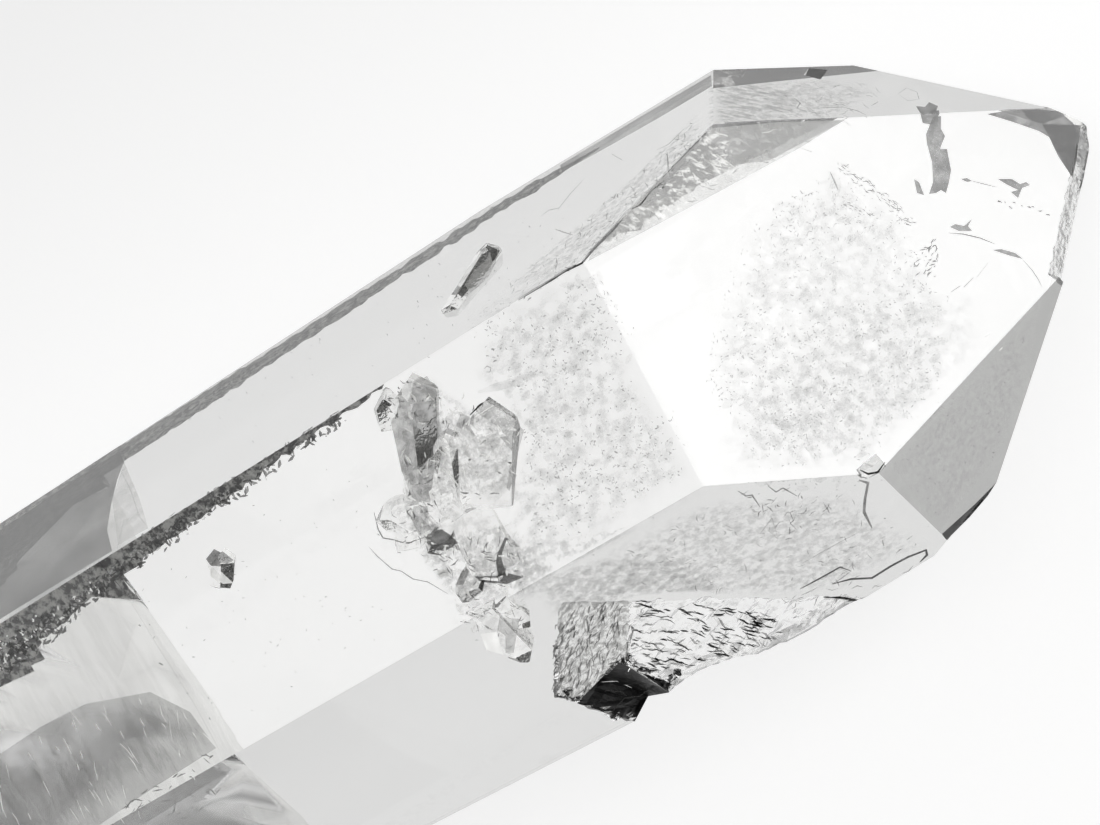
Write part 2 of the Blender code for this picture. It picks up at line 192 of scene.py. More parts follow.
@dataclass(frozen=True)
class PhotoView:
    """The photograph's camera, in millimetres from the heel."""

    position: Vector = field(default_factory=lambda: Vector((74.383, -35.494, 289.588)))
    right: Vector = field(default_factory=lambda: Vector((0.83193, -0.46227, -0.30691)))
    down: Vector = field(default_factory=lambda: Vector((-0.48569, -0.87413, 0.00005)))
    forward: Vector = field(default_factory=lambda: Vector((-0.2683, 0.14902, -0.95174)))
    focal: float = 4347.7
    width: float = 1100.0
    height: float = 825.0
    sensor: float = 36.0
    nearest: float = 0.01

    def ray(self, pixel: Pixel) -> Vector:
        """The direction in which the camera sees a pixel of the photograph."""
        across, below = pixel[0] - self.width / 2, pixel[1] - self.height / 2
        return (self.forward * self.focal + self.right * across + self.down * below).normalized()

    def inside(self, pixel: Pixel, side: Side, depth: float) -> Vector:
        """Where a mark seen at a pixel lies, when it is seen through a face.

        Args:
            pixel: the place in the photograph.
            side: the face that it is seen through.
            depth: how far it lies below that face, in mm.

        Returns:
            The place in millimetres from the heel.
        """
        ray, normal = self.ray(pixel), side.normal
        met = self.position + ray * ((side.distance - self.position.dot(normal)) / ray.dot(normal))
        cosine = -ray.dot(normal)
        bent = ray / QUARTZ_IOR + normal * (
            cosine / QUARTZ_IOR - math.sqrt(1 - (1 - cosine * cosine) / QUARTZ_IOR**2)
        )
        return met - bent * (depth / bent.dot(normal))

    def place(
        self, heel: Heel, crystal: bpy.types.Object, pixel: Pixel, side: Side | None, depth: float
    ) -> Vector | None:
        """Where a mark seen at a pixel lies in the scene.

        Args:
            heel: where places are measured from.
            crystal: the crystal that is looked at.
            pixel: the place in the photograph.
            side: the face it is seen through; None for the surface that is met there, whichever it is.
            depth: how far it lies below that face, in mm; below zero is outside, for a met surface alone.

        Returns:
            The place in metres in the scene, or None where the crystal isn't met.
        """
        if side is not None:
            return heel.at(self.inside(pixel, side, depth))
        start, ray = heel.at(self.position), self.ray(pixel)
        met, where, _, _ = crystal.ray_cast(start, ray)
        return where + ray * (depth * MM) if met else None

    def build(self, heel: Heel) -> bpy.types.Object:
        """Adds the camera.

        Args:
            heel: where places are measured from.

        Returns:
            The camera object, which is also made the scene's camera.
        """
        bpy.ops.object.camera_add(location=heel.at(self.position))
        camera = bpy.context.object
        camera.name = "photo_camera"
        turned = Matrix((self.right, -self.down, -self.forward)).transposed()
        camera.rotation_euler = turned.to_euler()
        camera.data.sensor_width = self.sensor
        camera.data.lens = self.focal / self.width * self.sensor
        camera.data.clip_start = self.nearest
        bpy.context.scene.camera = camera
        return camera


class Finish(Protocol):
    """Anything that can make a material."""

    def material(self) -> bpy.types.Material:
        """Makes the material."""
        ...


@dataclass
class Graph:
    """A material under construction: its tree, with short ways to add and join nodes."""

    name: str
    octave_share: float = 0.62

    def __post_init__(self) -> None:
        """Starts the material with its Principled shader."""
        self.made = bpy.data.materials.new(self.name)
        self.made.use_nodes = True
        self.tree = self.made.node_tree
        self.shader = self.tree.nodes["Principled BSDF"]
        self.place = self.tree.nodes.new("ShaderNodeTexCoord").outputs["Object"]

    def node(self, kind: str, **settings: object) -> bpy.types.Node:
        """Adds a node.

        Args:
            kind: the node's Blender type.
            settings: its properties.

        Returns:
            The node.
        """
        made = self.tree.nodes.new(kind)
        for name, value in settings.items():
            setattr(made, name, value)
        return made

    def join(self, source: bpy.types.NodeSocket, target: bpy.types.NodeSocket) -> None:
        """Links an output to an input."""
        self.tree.links.new(source, target)

    def set(self, **values: object) -> None:
        """Sets the shader's own sockets, with spaces in their names written as _."""
        for name, value in values.items():
            self.shader.inputs[name.replace("_", " ")].default_value = value

    def turned(self, turns: Triple, scale: Triple) -> bpy.types.NodeSocket:
        """Object coordinates turned and stretched.

        Args:
            turns: turns about X, Y and Z in degrees.
            scale: how often the pattern repeats a metre along each turned axis.

        Returns:
            The coordinates' socket.
        """
        turn = self.node("ShaderNodeMapping", vector_type="TEXTURE")
        turn.inputs["Rotation"].default_value = [math.radians(angle) for angle in turns]
        stretch = self.node("ShaderNodeMapping")
        stretch.inputs["Scale"].default_value = scale
        self.join(self.place, turn.inputs["Vector"])
        self.join(turn.outputs["Vector"], stretch.inputs["Vector"])
        return stretch.outputs["Vector"]

    def noise(self, where: bpy.types.NodeSocket, scale: float, detail: float = 3.0) -> bpy.types.NodeSocket:
        """A cloudy pattern.

        Args:
            where: its coordinates.
            scale: how fine it is.
            detail: how many finer layers it has.

        Returns:
            Its value, around one half.
        """
        made = self.node("ShaderNodeTexNoise")
        made.inputs["Scale"].default_value = scale
        made.inputs["Detail"].default_value = detail
        made.inputs["Roughness"].default_value = self.octave_share
        self.join(where, made.inputs["Vector"])
        return made.outputs["Fac"]

    def ramp(self, value: bpy.types.NodeSocket, stops: list[tuple[float, Triple]]) -> bpy.types.NodeSocket:
        """Colours by value.

        Args:
            value: what is coloured.
            stops: places from 0 to 1, each with its colour.

        Returns:
            The colour's socket.
        """
        made = self.node("ShaderNodeValToRGB")
        elements = made.color_ramp.elements
        while len(elements) < len(stops):
            elements.new(0.5)
        for element, (place, colour) in zip(elements, stops):
            element.position = place
            element.color = (*colour, 1.0)
        self.join(value, made.inputs["Fac"])
        return made.outputs["Color"]

    def bump(self, height: bpy.types.NodeSocket, strength: float, distance: float) -> None:
        """Roughens the shader's surface with a pattern.

        Args:
            height: the pattern.
            strength: how strongly it shows.
            distance: its depth in metres.
        """
        made = self.node("ShaderNodeBump")
        made.inputs["Strength"].default_value = strength
        made.inputs["Distance"].default_value = distance
        self.join(height, made.inputs["Height"])
        self.join(made.outputs["Normal"], self.shader.inputs["Normal"])


@dataclass(frozen=True)
class ClearQuartz:
    """Clear crystal with very fine growth lines across its length."""

    name: str = "clear_quartz"
    # Below white, this colour darkens the light that passes the face; the copies for single faces use it as
    # painted shade.
    colour: Quad = (1.0, 1.0, 0.995, 1.0)
    roughness: float = 0.0
    line_depth: float = 0.000002
    lines_per_metre: float = 1400.0
    line_length: float = 60.0
    line_strength: float = 0.25

    def material(self) -> bpy.types.Material:
        """Makes the material.

        Returns:
            The material.
        """
        graph = Graph(self.name)
        graph.set(Base_Color=self.colour, Roughness=self.roughness, IOR=QUARTZ_IOR, Transmission_Weight=1.0)
        stretch = (self.lines_per_metre, self.line_length, self.line_length)
        lines = graph.noise(graph.turned((0, 0, 0), stretch), scale=1.0, detail=2.0)
        graph.bump(lines, self.line_strength, self.line_depth)
        return graph.made


@dataclass(frozen=True)
class RoughQuartz:
    """Broken or grown-against crystal: frosted and grained, between a dark and a light tone."""

    name: str
    clarity: float
    roughness: float
    grain: float
    grain_depth: float
    dark: Triple
    light: Triple
    dark_below: float = 0.44
    light_above: float = 0.58
    turns: Triple = (0.0, 0.0, 0.0)
    stretch: Triple = (1.0, 1.0, 1.0)
    grain_strength: float = 0.8

    def material(self) -> bpy.types.Material:
        """Makes the material.

        Returns:
            The material.
        """
        graph = Graph(self.name)
        graph.set(Roughness=self.roughness, IOR=QUARTZ_IOR, Transmission_Weight=self.clarity)
        grains = graph.noise(graph.turned(self.turns, self.stretch), self.grain, detail=4.0)
        tint = graph.ramp(grains, [(self.dark_below, self.dark), (self.light_above, self.light)])
        graph.join(tint, graph.shader.inputs["Base Color"])
        graph.bump(grains, self.grain_strength, self.grain_depth)
        return graph.made


@dataclass(frozen=True)
class Tint:
    """A thin mark inside the crystal, uneven in tone and in how much it hides."""

    name: str
    tone: float
    alpha: float
    # Emission on the mark: painted light that makes it shine brighter than the light reaching it.
    painted_glow: float = 0.0
    roughness: float = 0.5
    pattern: float = 1100.0
    tone_shares: tuple[float, float] = (0.8, 1.2)
    dark_until: float = 0.38
    light_from: float = 0.62
    alpha_shares: tuple[float, float] = (0.75, 1.15)
    thick_until: float = 0.36
    thin_from: float = 0.66

    def material(self) -> bpy.types.Material:
        """Makes the material.

        Returns:
            The material.
        """
        graph = Graph(self.name)
        graph.set(Roughness=self.roughness, IOR=FRACTURE_IOR)
        # Painted light: the mark glows white.
        if self.painted_glow:
            graph.set(Emission_Color=WHITE_LIGHT, Emission_Strength=self.painted_glow)
        cloud = graph.noise(graph.place, self.pattern)
        dark, light = [min(self.tone * share, 1.0) for share in self.tone_shares]
        tones = [
            (self.dark_until, (dark, dark, dark * WARM_DARK)),
            (self.light_from, (light, light, light * WARM)),
        ]
        graph.join(graph.ramp(cloud, tones), graph.shader.inputs["Base Color"])
        thin, thick = [min(self.alpha * share, 1.0) for share in self.alpha_shares]
        alphas = [(self.thick_until, (thick, thick, thick)), (self.thin_from, (thin, thin, thin))]
        graph.join(graph.ramp(cloud, alphas), graph.shader.inputs["Alpha"])
        return graph.made


@dataclass(frozen=True)
class Cloud:
    """A fine-grained veil inside the crystal that comes and goes softly."""

    name: str
    tone: float
    alpha: float
    pattern: float = 900.0
    empty_below: float = 0.44
    full_above: float = 0.68
    # Emission on the veil: painted light that makes it shine brighter than the light reaching it.
    painted_glow: float = 0.0
    turns: Triple = (0.0, 0.0, 0.0)
    stretch: Triple = (1.0, 1.0, 1.0)
    rim_share: float = 0.3

    def material(self) -> bpy.types.Material:
        """Makes the material.

        Returns:
            The material.
        """
        graph = Graph(self.name)
        graph.set(Base_Color=(self.tone, self.tone, self.tone * WARM, 1.0), Roughness=0.6, IOR=FRACTURE_IOR)
        # Painted light: the veil glows white.
        if self.painted_glow:
            graph.set(Emission_Color=WHITE_LIGHT, Emission_Strength=self.painted_glow)
        cloud = graph.noise(graph.turned(self.turns, self.stretch), self.pattern, detail=9.0)
        none, most = (0.0, 0.0, 0.0), (self.alpha, self.alpha, self.alpha)
        grain = graph.ramp(cloud, [(self.empty_below, none), (self.full_above, most)])
        middle = graph.node("ShaderNodeAttribute", attribute_name=CLOUD_MIDDLE)
        fade = graph.node("ShaderNodeMapRange", interpolation_type="SMOOTHSTEP")
        fade.inputs["From Max"].default_value = self.rim_share
        graph.join(middle.outputs["Fac"], fade.inputs["Value"])
        alpha = graph.node("ShaderNodeMath", operation="MULTIPLY")
        graph.join(grain, alpha.inputs[0])
        graph.join(fade.outputs["Result"], alpha.inputs[1])
        graph.join(alpha.outputs["Value"], graph.shader.inputs["Alpha"])
        return graph.made


@cache
def material_of(finish: Finish) -> bpy.types.Material:
    """The material of a finish, made once and then shared."""
    return finish.material()


MID_GREY = Tint("grey_fracture", 0.22, 0.56)
LIGHT_GREY = Tint("light_grey_fracture", 0.3, 0.22)
DARK_GREY = Tint("dark_grey_fracture", 0.12, 0.55)
SHADE_GREY = Tint("smooth_grey_shade", 0.22, 0.56, pattern=120.0)
BLACK = Tint("black_crack", 0.015, 0.9)
# White fracture: its white tone is its own, its glow is painted light.
WHITE = Tint("white_fracture_painted_glow", 0.95, 0.75, painted_glow=0.35)
HAZE = Tint("grey_haze", 0.30, 0.05, pattern=500.0)
# White veil: its own pale tone, with a painted glow.
VEIL = Tint("white_veil_painted_glow", 0.9, 0.28, painted_glow=0.14, pattern=700.0)
SPECK = Tint("grey_speck", 0.14, 0.42)
FAINT_SPECK = Tint("faint_grey_speck", 0.2, 0.22)
# Pale grey fracture: its own tone, with a painted glow.
PALE_GREY = Tint("pale_grey_fracture_painted_glow", 0.75, 0.3, painted_glow=0.12)
BROWN_HAZE = Tint("brownish_haze", 0.34, 0.24, pattern=260.0)
GREY_CLOUD = Cloud("grey_cloud", 0.25, 0.2, 1700.0, 0.42, 0.66)
SOFT_CLOUD = Cloud("soft_grey_cloud", 0.35, 0.07, 2400.0, 0.42, 0.68)
FINE_CLOUD = Cloud("fine_grey_cloud", 0.3, 0.17, 1100.0, 0.4, 0.68)
THICK_CLOUD = Cloud("thick_grey_cloud", 0.28, 0.26, 1500.0, 0.4, 0.64)
# White streaks: their own white tone, with a painted glow.
STREAKS = Cloud("white_streaks_painted_glow", 0.95, 0.6, 2200.0, 0.52, 0.6, 0.5, (0.0, 0.0, -28.0), (0.15, 1.0, 1.0),
    0.15)
GREY_STREAKS = Cloud("grey_streaks", 0.2, 0.24, 2200.0, 0.46, 0.62, 0.0, (0.0, 0.0, -28.0),
    (0.25, 1.0, 1.0), 0.2)
SHADED_GREY = Tint("shaded_grey", 0.24, 0.42, pattern=300.0)


def deselect() -> None:
    """Leaves nothing selected."""
    if bpy.context.mode != "OBJECT":
        bpy.ops.object.mode_set(mode="OBJECT")
    bpy.ops.object.select_all(action="DESELECT")


def choose(made: bpy.types.Object) -> None:
    """Selects one object alone and makes it active.

    Args:
        made: the object.
    """
    deselect()
    made.select_set(True)
    bpy.context.view_layer.objects.active = made


def apply_modifiers(made: bpy.types.Object) -> None:
    """Applies all of an object's modifiers in order.

    Args:
        made: the object.
    """
    choose(made)
    for modifier in list(made.modifiers):
        bpy.ops.object.modifier_apply(modifier=modifier.name)


def join_all(parts: list[bpy.types.Object], name: str) -> bpy.types.Object:
    """Joins objects into one.

    Args:
        parts: the objects; the first keeps its materials' order.
        name: the joined object's name.

    Returns:
        The joined object.
    """
    choose(parts[0])
    for part in parts:
        part.select_set(True)
    bpy.ops.object.join()
    joined = bpy.context.object
    joined.name = name
    joined.data.name = name
    return joined


def settle(made: bpy.types.Object) -> bpy.types.Object:
    """Puts an object's place into its mesh and makes it ride on the crystal's body.

    Args:
        made: the object.

    Returns:
        The same object.
    """
    choose(made)
    bpy.ops.object.transform_apply(location=True, rotation=True, scale=True)
    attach(made, BODY)
    return made


@dataclass
class Crystal:
    """The crystal itself: the solid's mesh made fine, roughened where it is broken, and dressed."""

    heel: Heel
    same_level: float = 0.012
    base_direction: Triple = (-0.814, 0.0, -0.581)
    base_distance: float = 52.0
    base_likeness: float = 0.6
    base_edge_x: float = -48.4
    wall_starts_on_base: float = 17.5
    wall_rise_on_base: float = 0.33
    wall_below_on_base: float = -8.0
    wall_below: float = -20.0
    wall_past: float = 12.0
    wall_end: float = 5.0
    chamfer_from: float = 15.0
    chamfer_likeness: float = 0.98
    worn_edge_from: float = 20.0
    worn_edge_reach: float = 2.5
    fibre_slant: float = 0.585
    fibre_from: float = -12.2
    fibre_to: float = -5.9
    split_from: float = 1.0
    break_depth: float = 3.0
    break_rise: float = 0.02
    break_from: float = -26.0
    break_to: float = 13.0
    break_edge: float = -0.5
    break_side: float = -7.0
    down_the_break: Triple = (0.0, -0.5, -0.866)
    pit_corner: Triple = (-19.5, -7.65, -13.25)
    pit_reach: float = 8.0
    pit_rim: float = -0.75
    pit_steepness: float = 0.6
    roughening: dict[Zone, tuple[int, float, float]] = field(
        default_factory=lambda: {
            Zone.WALL: (3, 0.5, 0.25),
            Zone.CHISEL: (3, 0.4, 0.15),
            Zone.FIBROUS: (3, 0.5, 0.2),
            Zone.CRACKED: (2, 0.6, 0.2),
            Zone.SPLIT: (1, 0.6, 0.12),
            Zone.PIT: (5, 0.9, 0.6),
        }
    )
    # Flat faces whose clear quartz gets a darker copy, as painted shade.
    painted_shade_zones: dict[Side, Zone] = field(
        default_factory=lambda: {
            Side.UPPER: Zone.UPPER,
            Side.LOWER: Zone.LOWER,
            Side.TIP_UPPER: Zone.TIP_UPPER,
            Side.TIP_LOWER: Zone.TIP_LOWER,
        }
    )

    def on_side(self, point: Vector) -> bool:
        """Whether a point of the scene lies on one of the flat faces."""
        place = self.heel.local(point)
        return any(abs(place.dot(side.normal) - side.distance) < self.same_level for side in Side)

    def zone_of(self, mesh: bpy.types.Mesh, face: bpy.types.MeshPolygon) -> Zone:
        """Says how a part of the surface is finished.

        Args:
            mesh: the crystal's mesh.
            face: one of its faces.

        Returns:
            The zone.
        """
        corners = [self.heel.local(mesh.vertices[index].co) for index in face.vertices]
        centre, normal = self.heel.local(face.center), face.normal
        for side in Side:
            if all(abs(corner.dot(side.normal) - side.distance) < self.same_level for corner in corners):
                return self.painted_shade_zones.get(side, Zone.CLEAR)
        chamfer = (Side.TIP_LOWER.normal + Side.LOWER_BACK_NEAR_TIP.normal).normalized()
        if normal.dot(chamfer) > self.chamfer_likeness and centre.x > self.chamfer_from:
            return Zone.CHAMFER
        base = Vector(self.base_direction)
        if centre.dot(base) > self.base_distance and normal.dot(base) > self.base_likeness:
            border = self.wall_starts_on_base + self.wall_rise_on_base * (centre.x - self.base_edge_x)
            return Zone.WALL if centre.y > border and centre.z < self.wall_below_on_base else Zone.BASE
        if centre.z < self.wall_below and centre.y > self.wall_past and centre.x < self.wall_end:
            return Zone.WALL
        if centre.x > self.worn_edge_from and abs(centre.dot(Side.TIP_FRONT.normal)) < self.worn_edge_reach:
            return Zone.CHISEL
        lower = centre.dot(Side.LOWER.normal)
        if (centre - Vector(self.pit_corner)).length < self.pit_reach:
            if lower < self.pit_rim or abs(normal.dot(Side.LOWER.normal)) < self.pit_steepness:
                return Zone.PIT
        broken = Zone.CRACKED if centre.x < self.split_from else Zone.SPLIT
        within = self.break_from < centre.x < self.break_to and centre.y < self.break_edge
        if within and -self.break_depth < lower < self.break_rise:
            slanted = centre.x + self.fibre_slant * centre.dot(Vector(self.down_the_break))
            return Zone.FIBROUS if self.fibre_from < slanted < self.fibre_to else broken
        return broken if centre.y < self.break_side else Zone.GROWTH

    def build(self, node: bpy.types.Object) -> bpy.types.Object:
        """Makes the crystal from a merged copy of the solid.

        Args:
            node: the solid's object, which stays as it is.

        Returns:
            The dressed crystal.
        """
        mesh = node.data.copy()
        mesh.name = "clear_crystal"
        crystal = bpy.data.objects.new("clear_crystal", mesh)
        bpy.context.scene.collection.objects.link(crystal)
        choose(crystal)
        bpy.ops.mesh.customdata_custom_splitnormals_clear()
        bpy.ops.object.mode_set(mode="EDIT")
        bpy.ops.mesh.select_all(action="SELECT")
        bpy.ops.mesh.remove_doubles(threshold=0.000001)
        bpy.ops.object.mode_set(mode="OBJECT")
        for zone, (cuts, size, depth) in self.roughening.items():
            self.roughen(crystal, zone, cuts, size, depth)
        self.dress(crystal)
        settle(crystal)
        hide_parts(NODE)
        return crystal

    def select_zone(self, crystal: bpy.types.Object, zone: Zone) -> int:
        """Selects the faces of one zone.

        Args:
            crystal: the crystal.
            zone: the zone.

        Returns:
            How many faces are selected.
        """
        mesh = crystal.data
        for edge in mesh.edges:
            edge.select = False
        for vertex in mesh.vertices:
            vertex.select = False
        chosen = 0
        for face in mesh.polygons:
            face.select = self.zone_of(mesh, face) is zone
            chosen += face.select
        return chosen

    def roughen(self, crystal: bpy.types.Object, zone: Zone, cuts: int, size: float, depth: float) -> None:
        """Gives one zone a finer, uneven surface.

        Args:
            crystal: the crystal.
            zone: the zone.
            cuts: how many cuts each edge gets.
            size: the size of the unevenness in mm.
            depth: its height in mm.
        """
        if not self.select_zone(crystal, zone):
            LOG.warning("no face lies in zone %s", zone.name)
            return
        choose(crystal)
        bpy.ops.object.mode_set(mode="EDIT")
        bpy.ops.mesh.select_mode(type="FACE")
        bpy.ops.mesh.subdivide(number_cuts=cuts)
        bpy.ops.mesh.select_less()
        bpy.ops.object.mode_set(mode="OBJECT")
        group = crystal.vertex_groups.new(name=zone.name.lower())
        loose = [
            vertex.index for vertex in crystal.data.vertices if vertex.select and not self.on_side(vertex.co)
        ]
        group.add(loose, 1.0, "REPLACE")
        clouds = bpy.data.textures.new(f"{zone.name.lower()}_relief", "CLOUDS")
        clouds.noise_scale = size * MM
        clouds.noise_depth = 2
        relief = crystal.modifiers.new("relief", "DISPLACE")
        relief.texture = clouds
        relief.texture_coords = "LOCAL"
        relief.vertex_group = group.name
        relief.mid_level = 1.0
        relief.strength = depth * MM
        apply_modifiers(crystal)

    def finishes(self) -> dict[Zone, Finish]:
        """Says how each zone is finished.

        Returns:
            The finish of each zone.
        """
        black, pale = (0.02, 0.02, 0.02), (0.75, 0.75, 0.73)
        return {
            Zone.CLEAR: ClearQuartz(),
            Zone.WALL: RoughQuartz("grainy_wall_quartz", 0.2, 0.3, 1500.0, 0.0002, black, (0.5, 0.5, 0.48)),
            Zone.BASE: RoughQuartz("broken_base_quartz", 1.0, 0.2, 500.0, 0.00001, (0.62, 0.62, 0.6), pale,
                stretch=(1.0, 0.1, 1.0)),
            Zone.CHISEL: RoughQuartz("worn_edge_quartz", 0.9, 0.2, 1500.0, 0.00004, (0.55, 0.55, 0.55),
                (1.0, 1.0, 1.0), 0.36, 0.5),
            Zone.FIBROUS: RoughQuartz("fibrous_quartz", 0.75, 0.22, 2400.0, 0.0001, (0.3, 0.3, 0.29),
                (0.95, 0.95, 0.94), turns=(0.0, 0.0, 60.0), stretch=(0.16, 1.0, 1.0)),
            Zone.CRACKED: RoughQuartz("cracked_quartz", 0.95, 0.08, 1100.0, 0.00006, (0.5, 0.5, 0.5),
                (1.0, 1.0, 1.0), 0.3, 0.48),
            Zone.PIT: RoughQuartz("dark_pit_quartz", 0.0, 0.5, 1500.0, 0.0002, (0.006, 0.006, 0.006), black),
            Zone.GROWTH: RoughQuartz("grown_on_quartz", 1.0, 0.04, 600.0, 0.0001, (0.6, 0.6, 0.59),
                (1.0, 1.0, 0.99), 0.36, 0.56),
            Zone.SPLIT: RoughQuartz("split_quartz", 1.0, 0.04, 700.0, 0.00004, (0.5, 0.5, 0.49),
                (0.74, 0.74, 0.73), 0.34, 0.5),
            Zone.CHAMFER: RoughQuartz("dark_chamfer_quartz", 0.1, 0.4, 1500.0, 0.0001, (0.02, 0.02, 0.02),
                (0.12, 0.12, 0.12)),
            # Painted shade: the same clear quartz, tinted grey on four flat faces, darkest on the tip's
            # lower face.
            Zone.UPPER: ClearQuartz("clear_quartz_upper_painted_shade", (0.66, 0.66, 0.655, 1.0)),
            Zone.LOWER: ClearQuartz("clear_quartz_lower_painted_shade", (0.66, 0.66, 0.655, 1.0)),
            Zone.TIP_UPPER: ClearQuartz("clear_quartz_tip_upper_painted_shade", (0.58, 0.58, 0.575, 1.0)),
            Zone.TIP_LOWER: ClearQuartz("clear_quartz_tip_lower_painted_shade", (0.27, 0.27, 0.265, 1.0)),
        }

    def dress(self, crystal: bpy.types.Object) -> None:
        """Gives each part of the surface its finish.

        Args:
            crystal: the crystal.
        """
        crystal.data.materials.clear()
        finishes = self.finishes()
        for zone in Zone:
            crystal.data.materials.append(material_of(finishes[zone]))
        found: dict[Zone, int] = {zone: 0 for zone in Zone}
        for face in crystal.data.polygons:
            zone = self.zone_of(crystal.data, face)
            face.material_index = zone.value
            face.use_smooth = zone is Zone.BASE
            found[zone] += 1
        LOG.info("faces by zone: %s", {zone.name.lower(): count for zone, count in found.items()})


def contains(outline: tuple[Pixel, ...], pixel: Pixel) -> bool:
    """Whether a place in the photograph lies within an outline.

    Args:
        outline: the outline's corners.
        pixel: the place.

    Returns:
        True when it lies within.
    """
    found = False
    for (x0, y0), (x1, y1) in zip(outline, outline[1:] + outline[:1]):
        if (y0 > pixel[1]) != (y1 > pixel[1]) and pixel[0] < (x1 - x0) * (pixel[1] - y0) / (y1 - y0) + x0:
            found = not found
    return found


@dataclass(frozen=True)
class Patch:
    """A flat fracture inside the crystal, by its outline in the photograph."""

    side: Side
    depth: float
    finish: Finish
    outline: tuple[Pixel, ...]


@dataclass(frozen=True)
class Line:
    """A crack seen as a line, by its route in the photograph and its width in mm."""

    side: Side | None
    depth: float
    finish: Finish
    route: tuple[Pixel, ...]
    width: float = 0.12


@dataclass(frozen=True)
class Scatter:
    """Many short marks strewn over one part of a face, by where that part is in the photograph."""

    side: Side | None
    depths: tuple[float, float]
    finish: Finish
    outline: tuple[Pixel, ...]
    count: int
    lengths: tuple[float, float] = (1.5, 5.0)
    widths: tuple[float, float] = (0.05, 0.1)
    slant: float = 0.0
    spread: float = 90.0
    waviness: float = 0.3
    steps: int = 2
    seed: int = 1
    clump: float = 0.0
    clump_size: int = 9

    def lines(self) -> list[Line]:
        """Strews the marks.

        Returns:
            One short line for each.
        """
        chance = random.Random(self.seed)
        across = [pixel[0] for pixel in self.outline]
        down = [pixel[1] for pixel in self.outline]
        made: list[Line] = []
        clump = (0.0, 0.0)
        while len(made) < self.count:
            middle = (chance.uniform(min(across), max(across)), chance.uniform(min(down), max(down)))
            if self.clump and len(made) % self.clump_size:
                middle = (chance.gauss(clump[0], self.clump), chance.gauss(clump[1], self.clump))
            if not contains(self.outline, middle):
                continue
            if len(made) % self.clump_size == 0:
                clump = middle
            turn = math.radians(chance.gauss(self.slant, self.spread))
            length = chance.uniform(*self.lengths)
            route = []
            for step in range(self.steps + 1):
                along = length * (step / self.steps - 0.5)
                off = chance.uniform(-self.waviness, self.waviness) * length / self.steps
                x = middle[0] + along * math.cos(turn) - off * math.sin(turn)
                y = middle[1] + along * math.sin(turn) + off * math.cos(turn)
                route.append((x, y))
            if not (contains(self.outline, route[0]) and contains(self.outline, route[-1])):
                continue
            depth, width = chance.uniform(*self.depths), chance.uniform(*self.widths)
            made.append(Line(self.side, depth, self.finish, tuple(route), width))
        return made


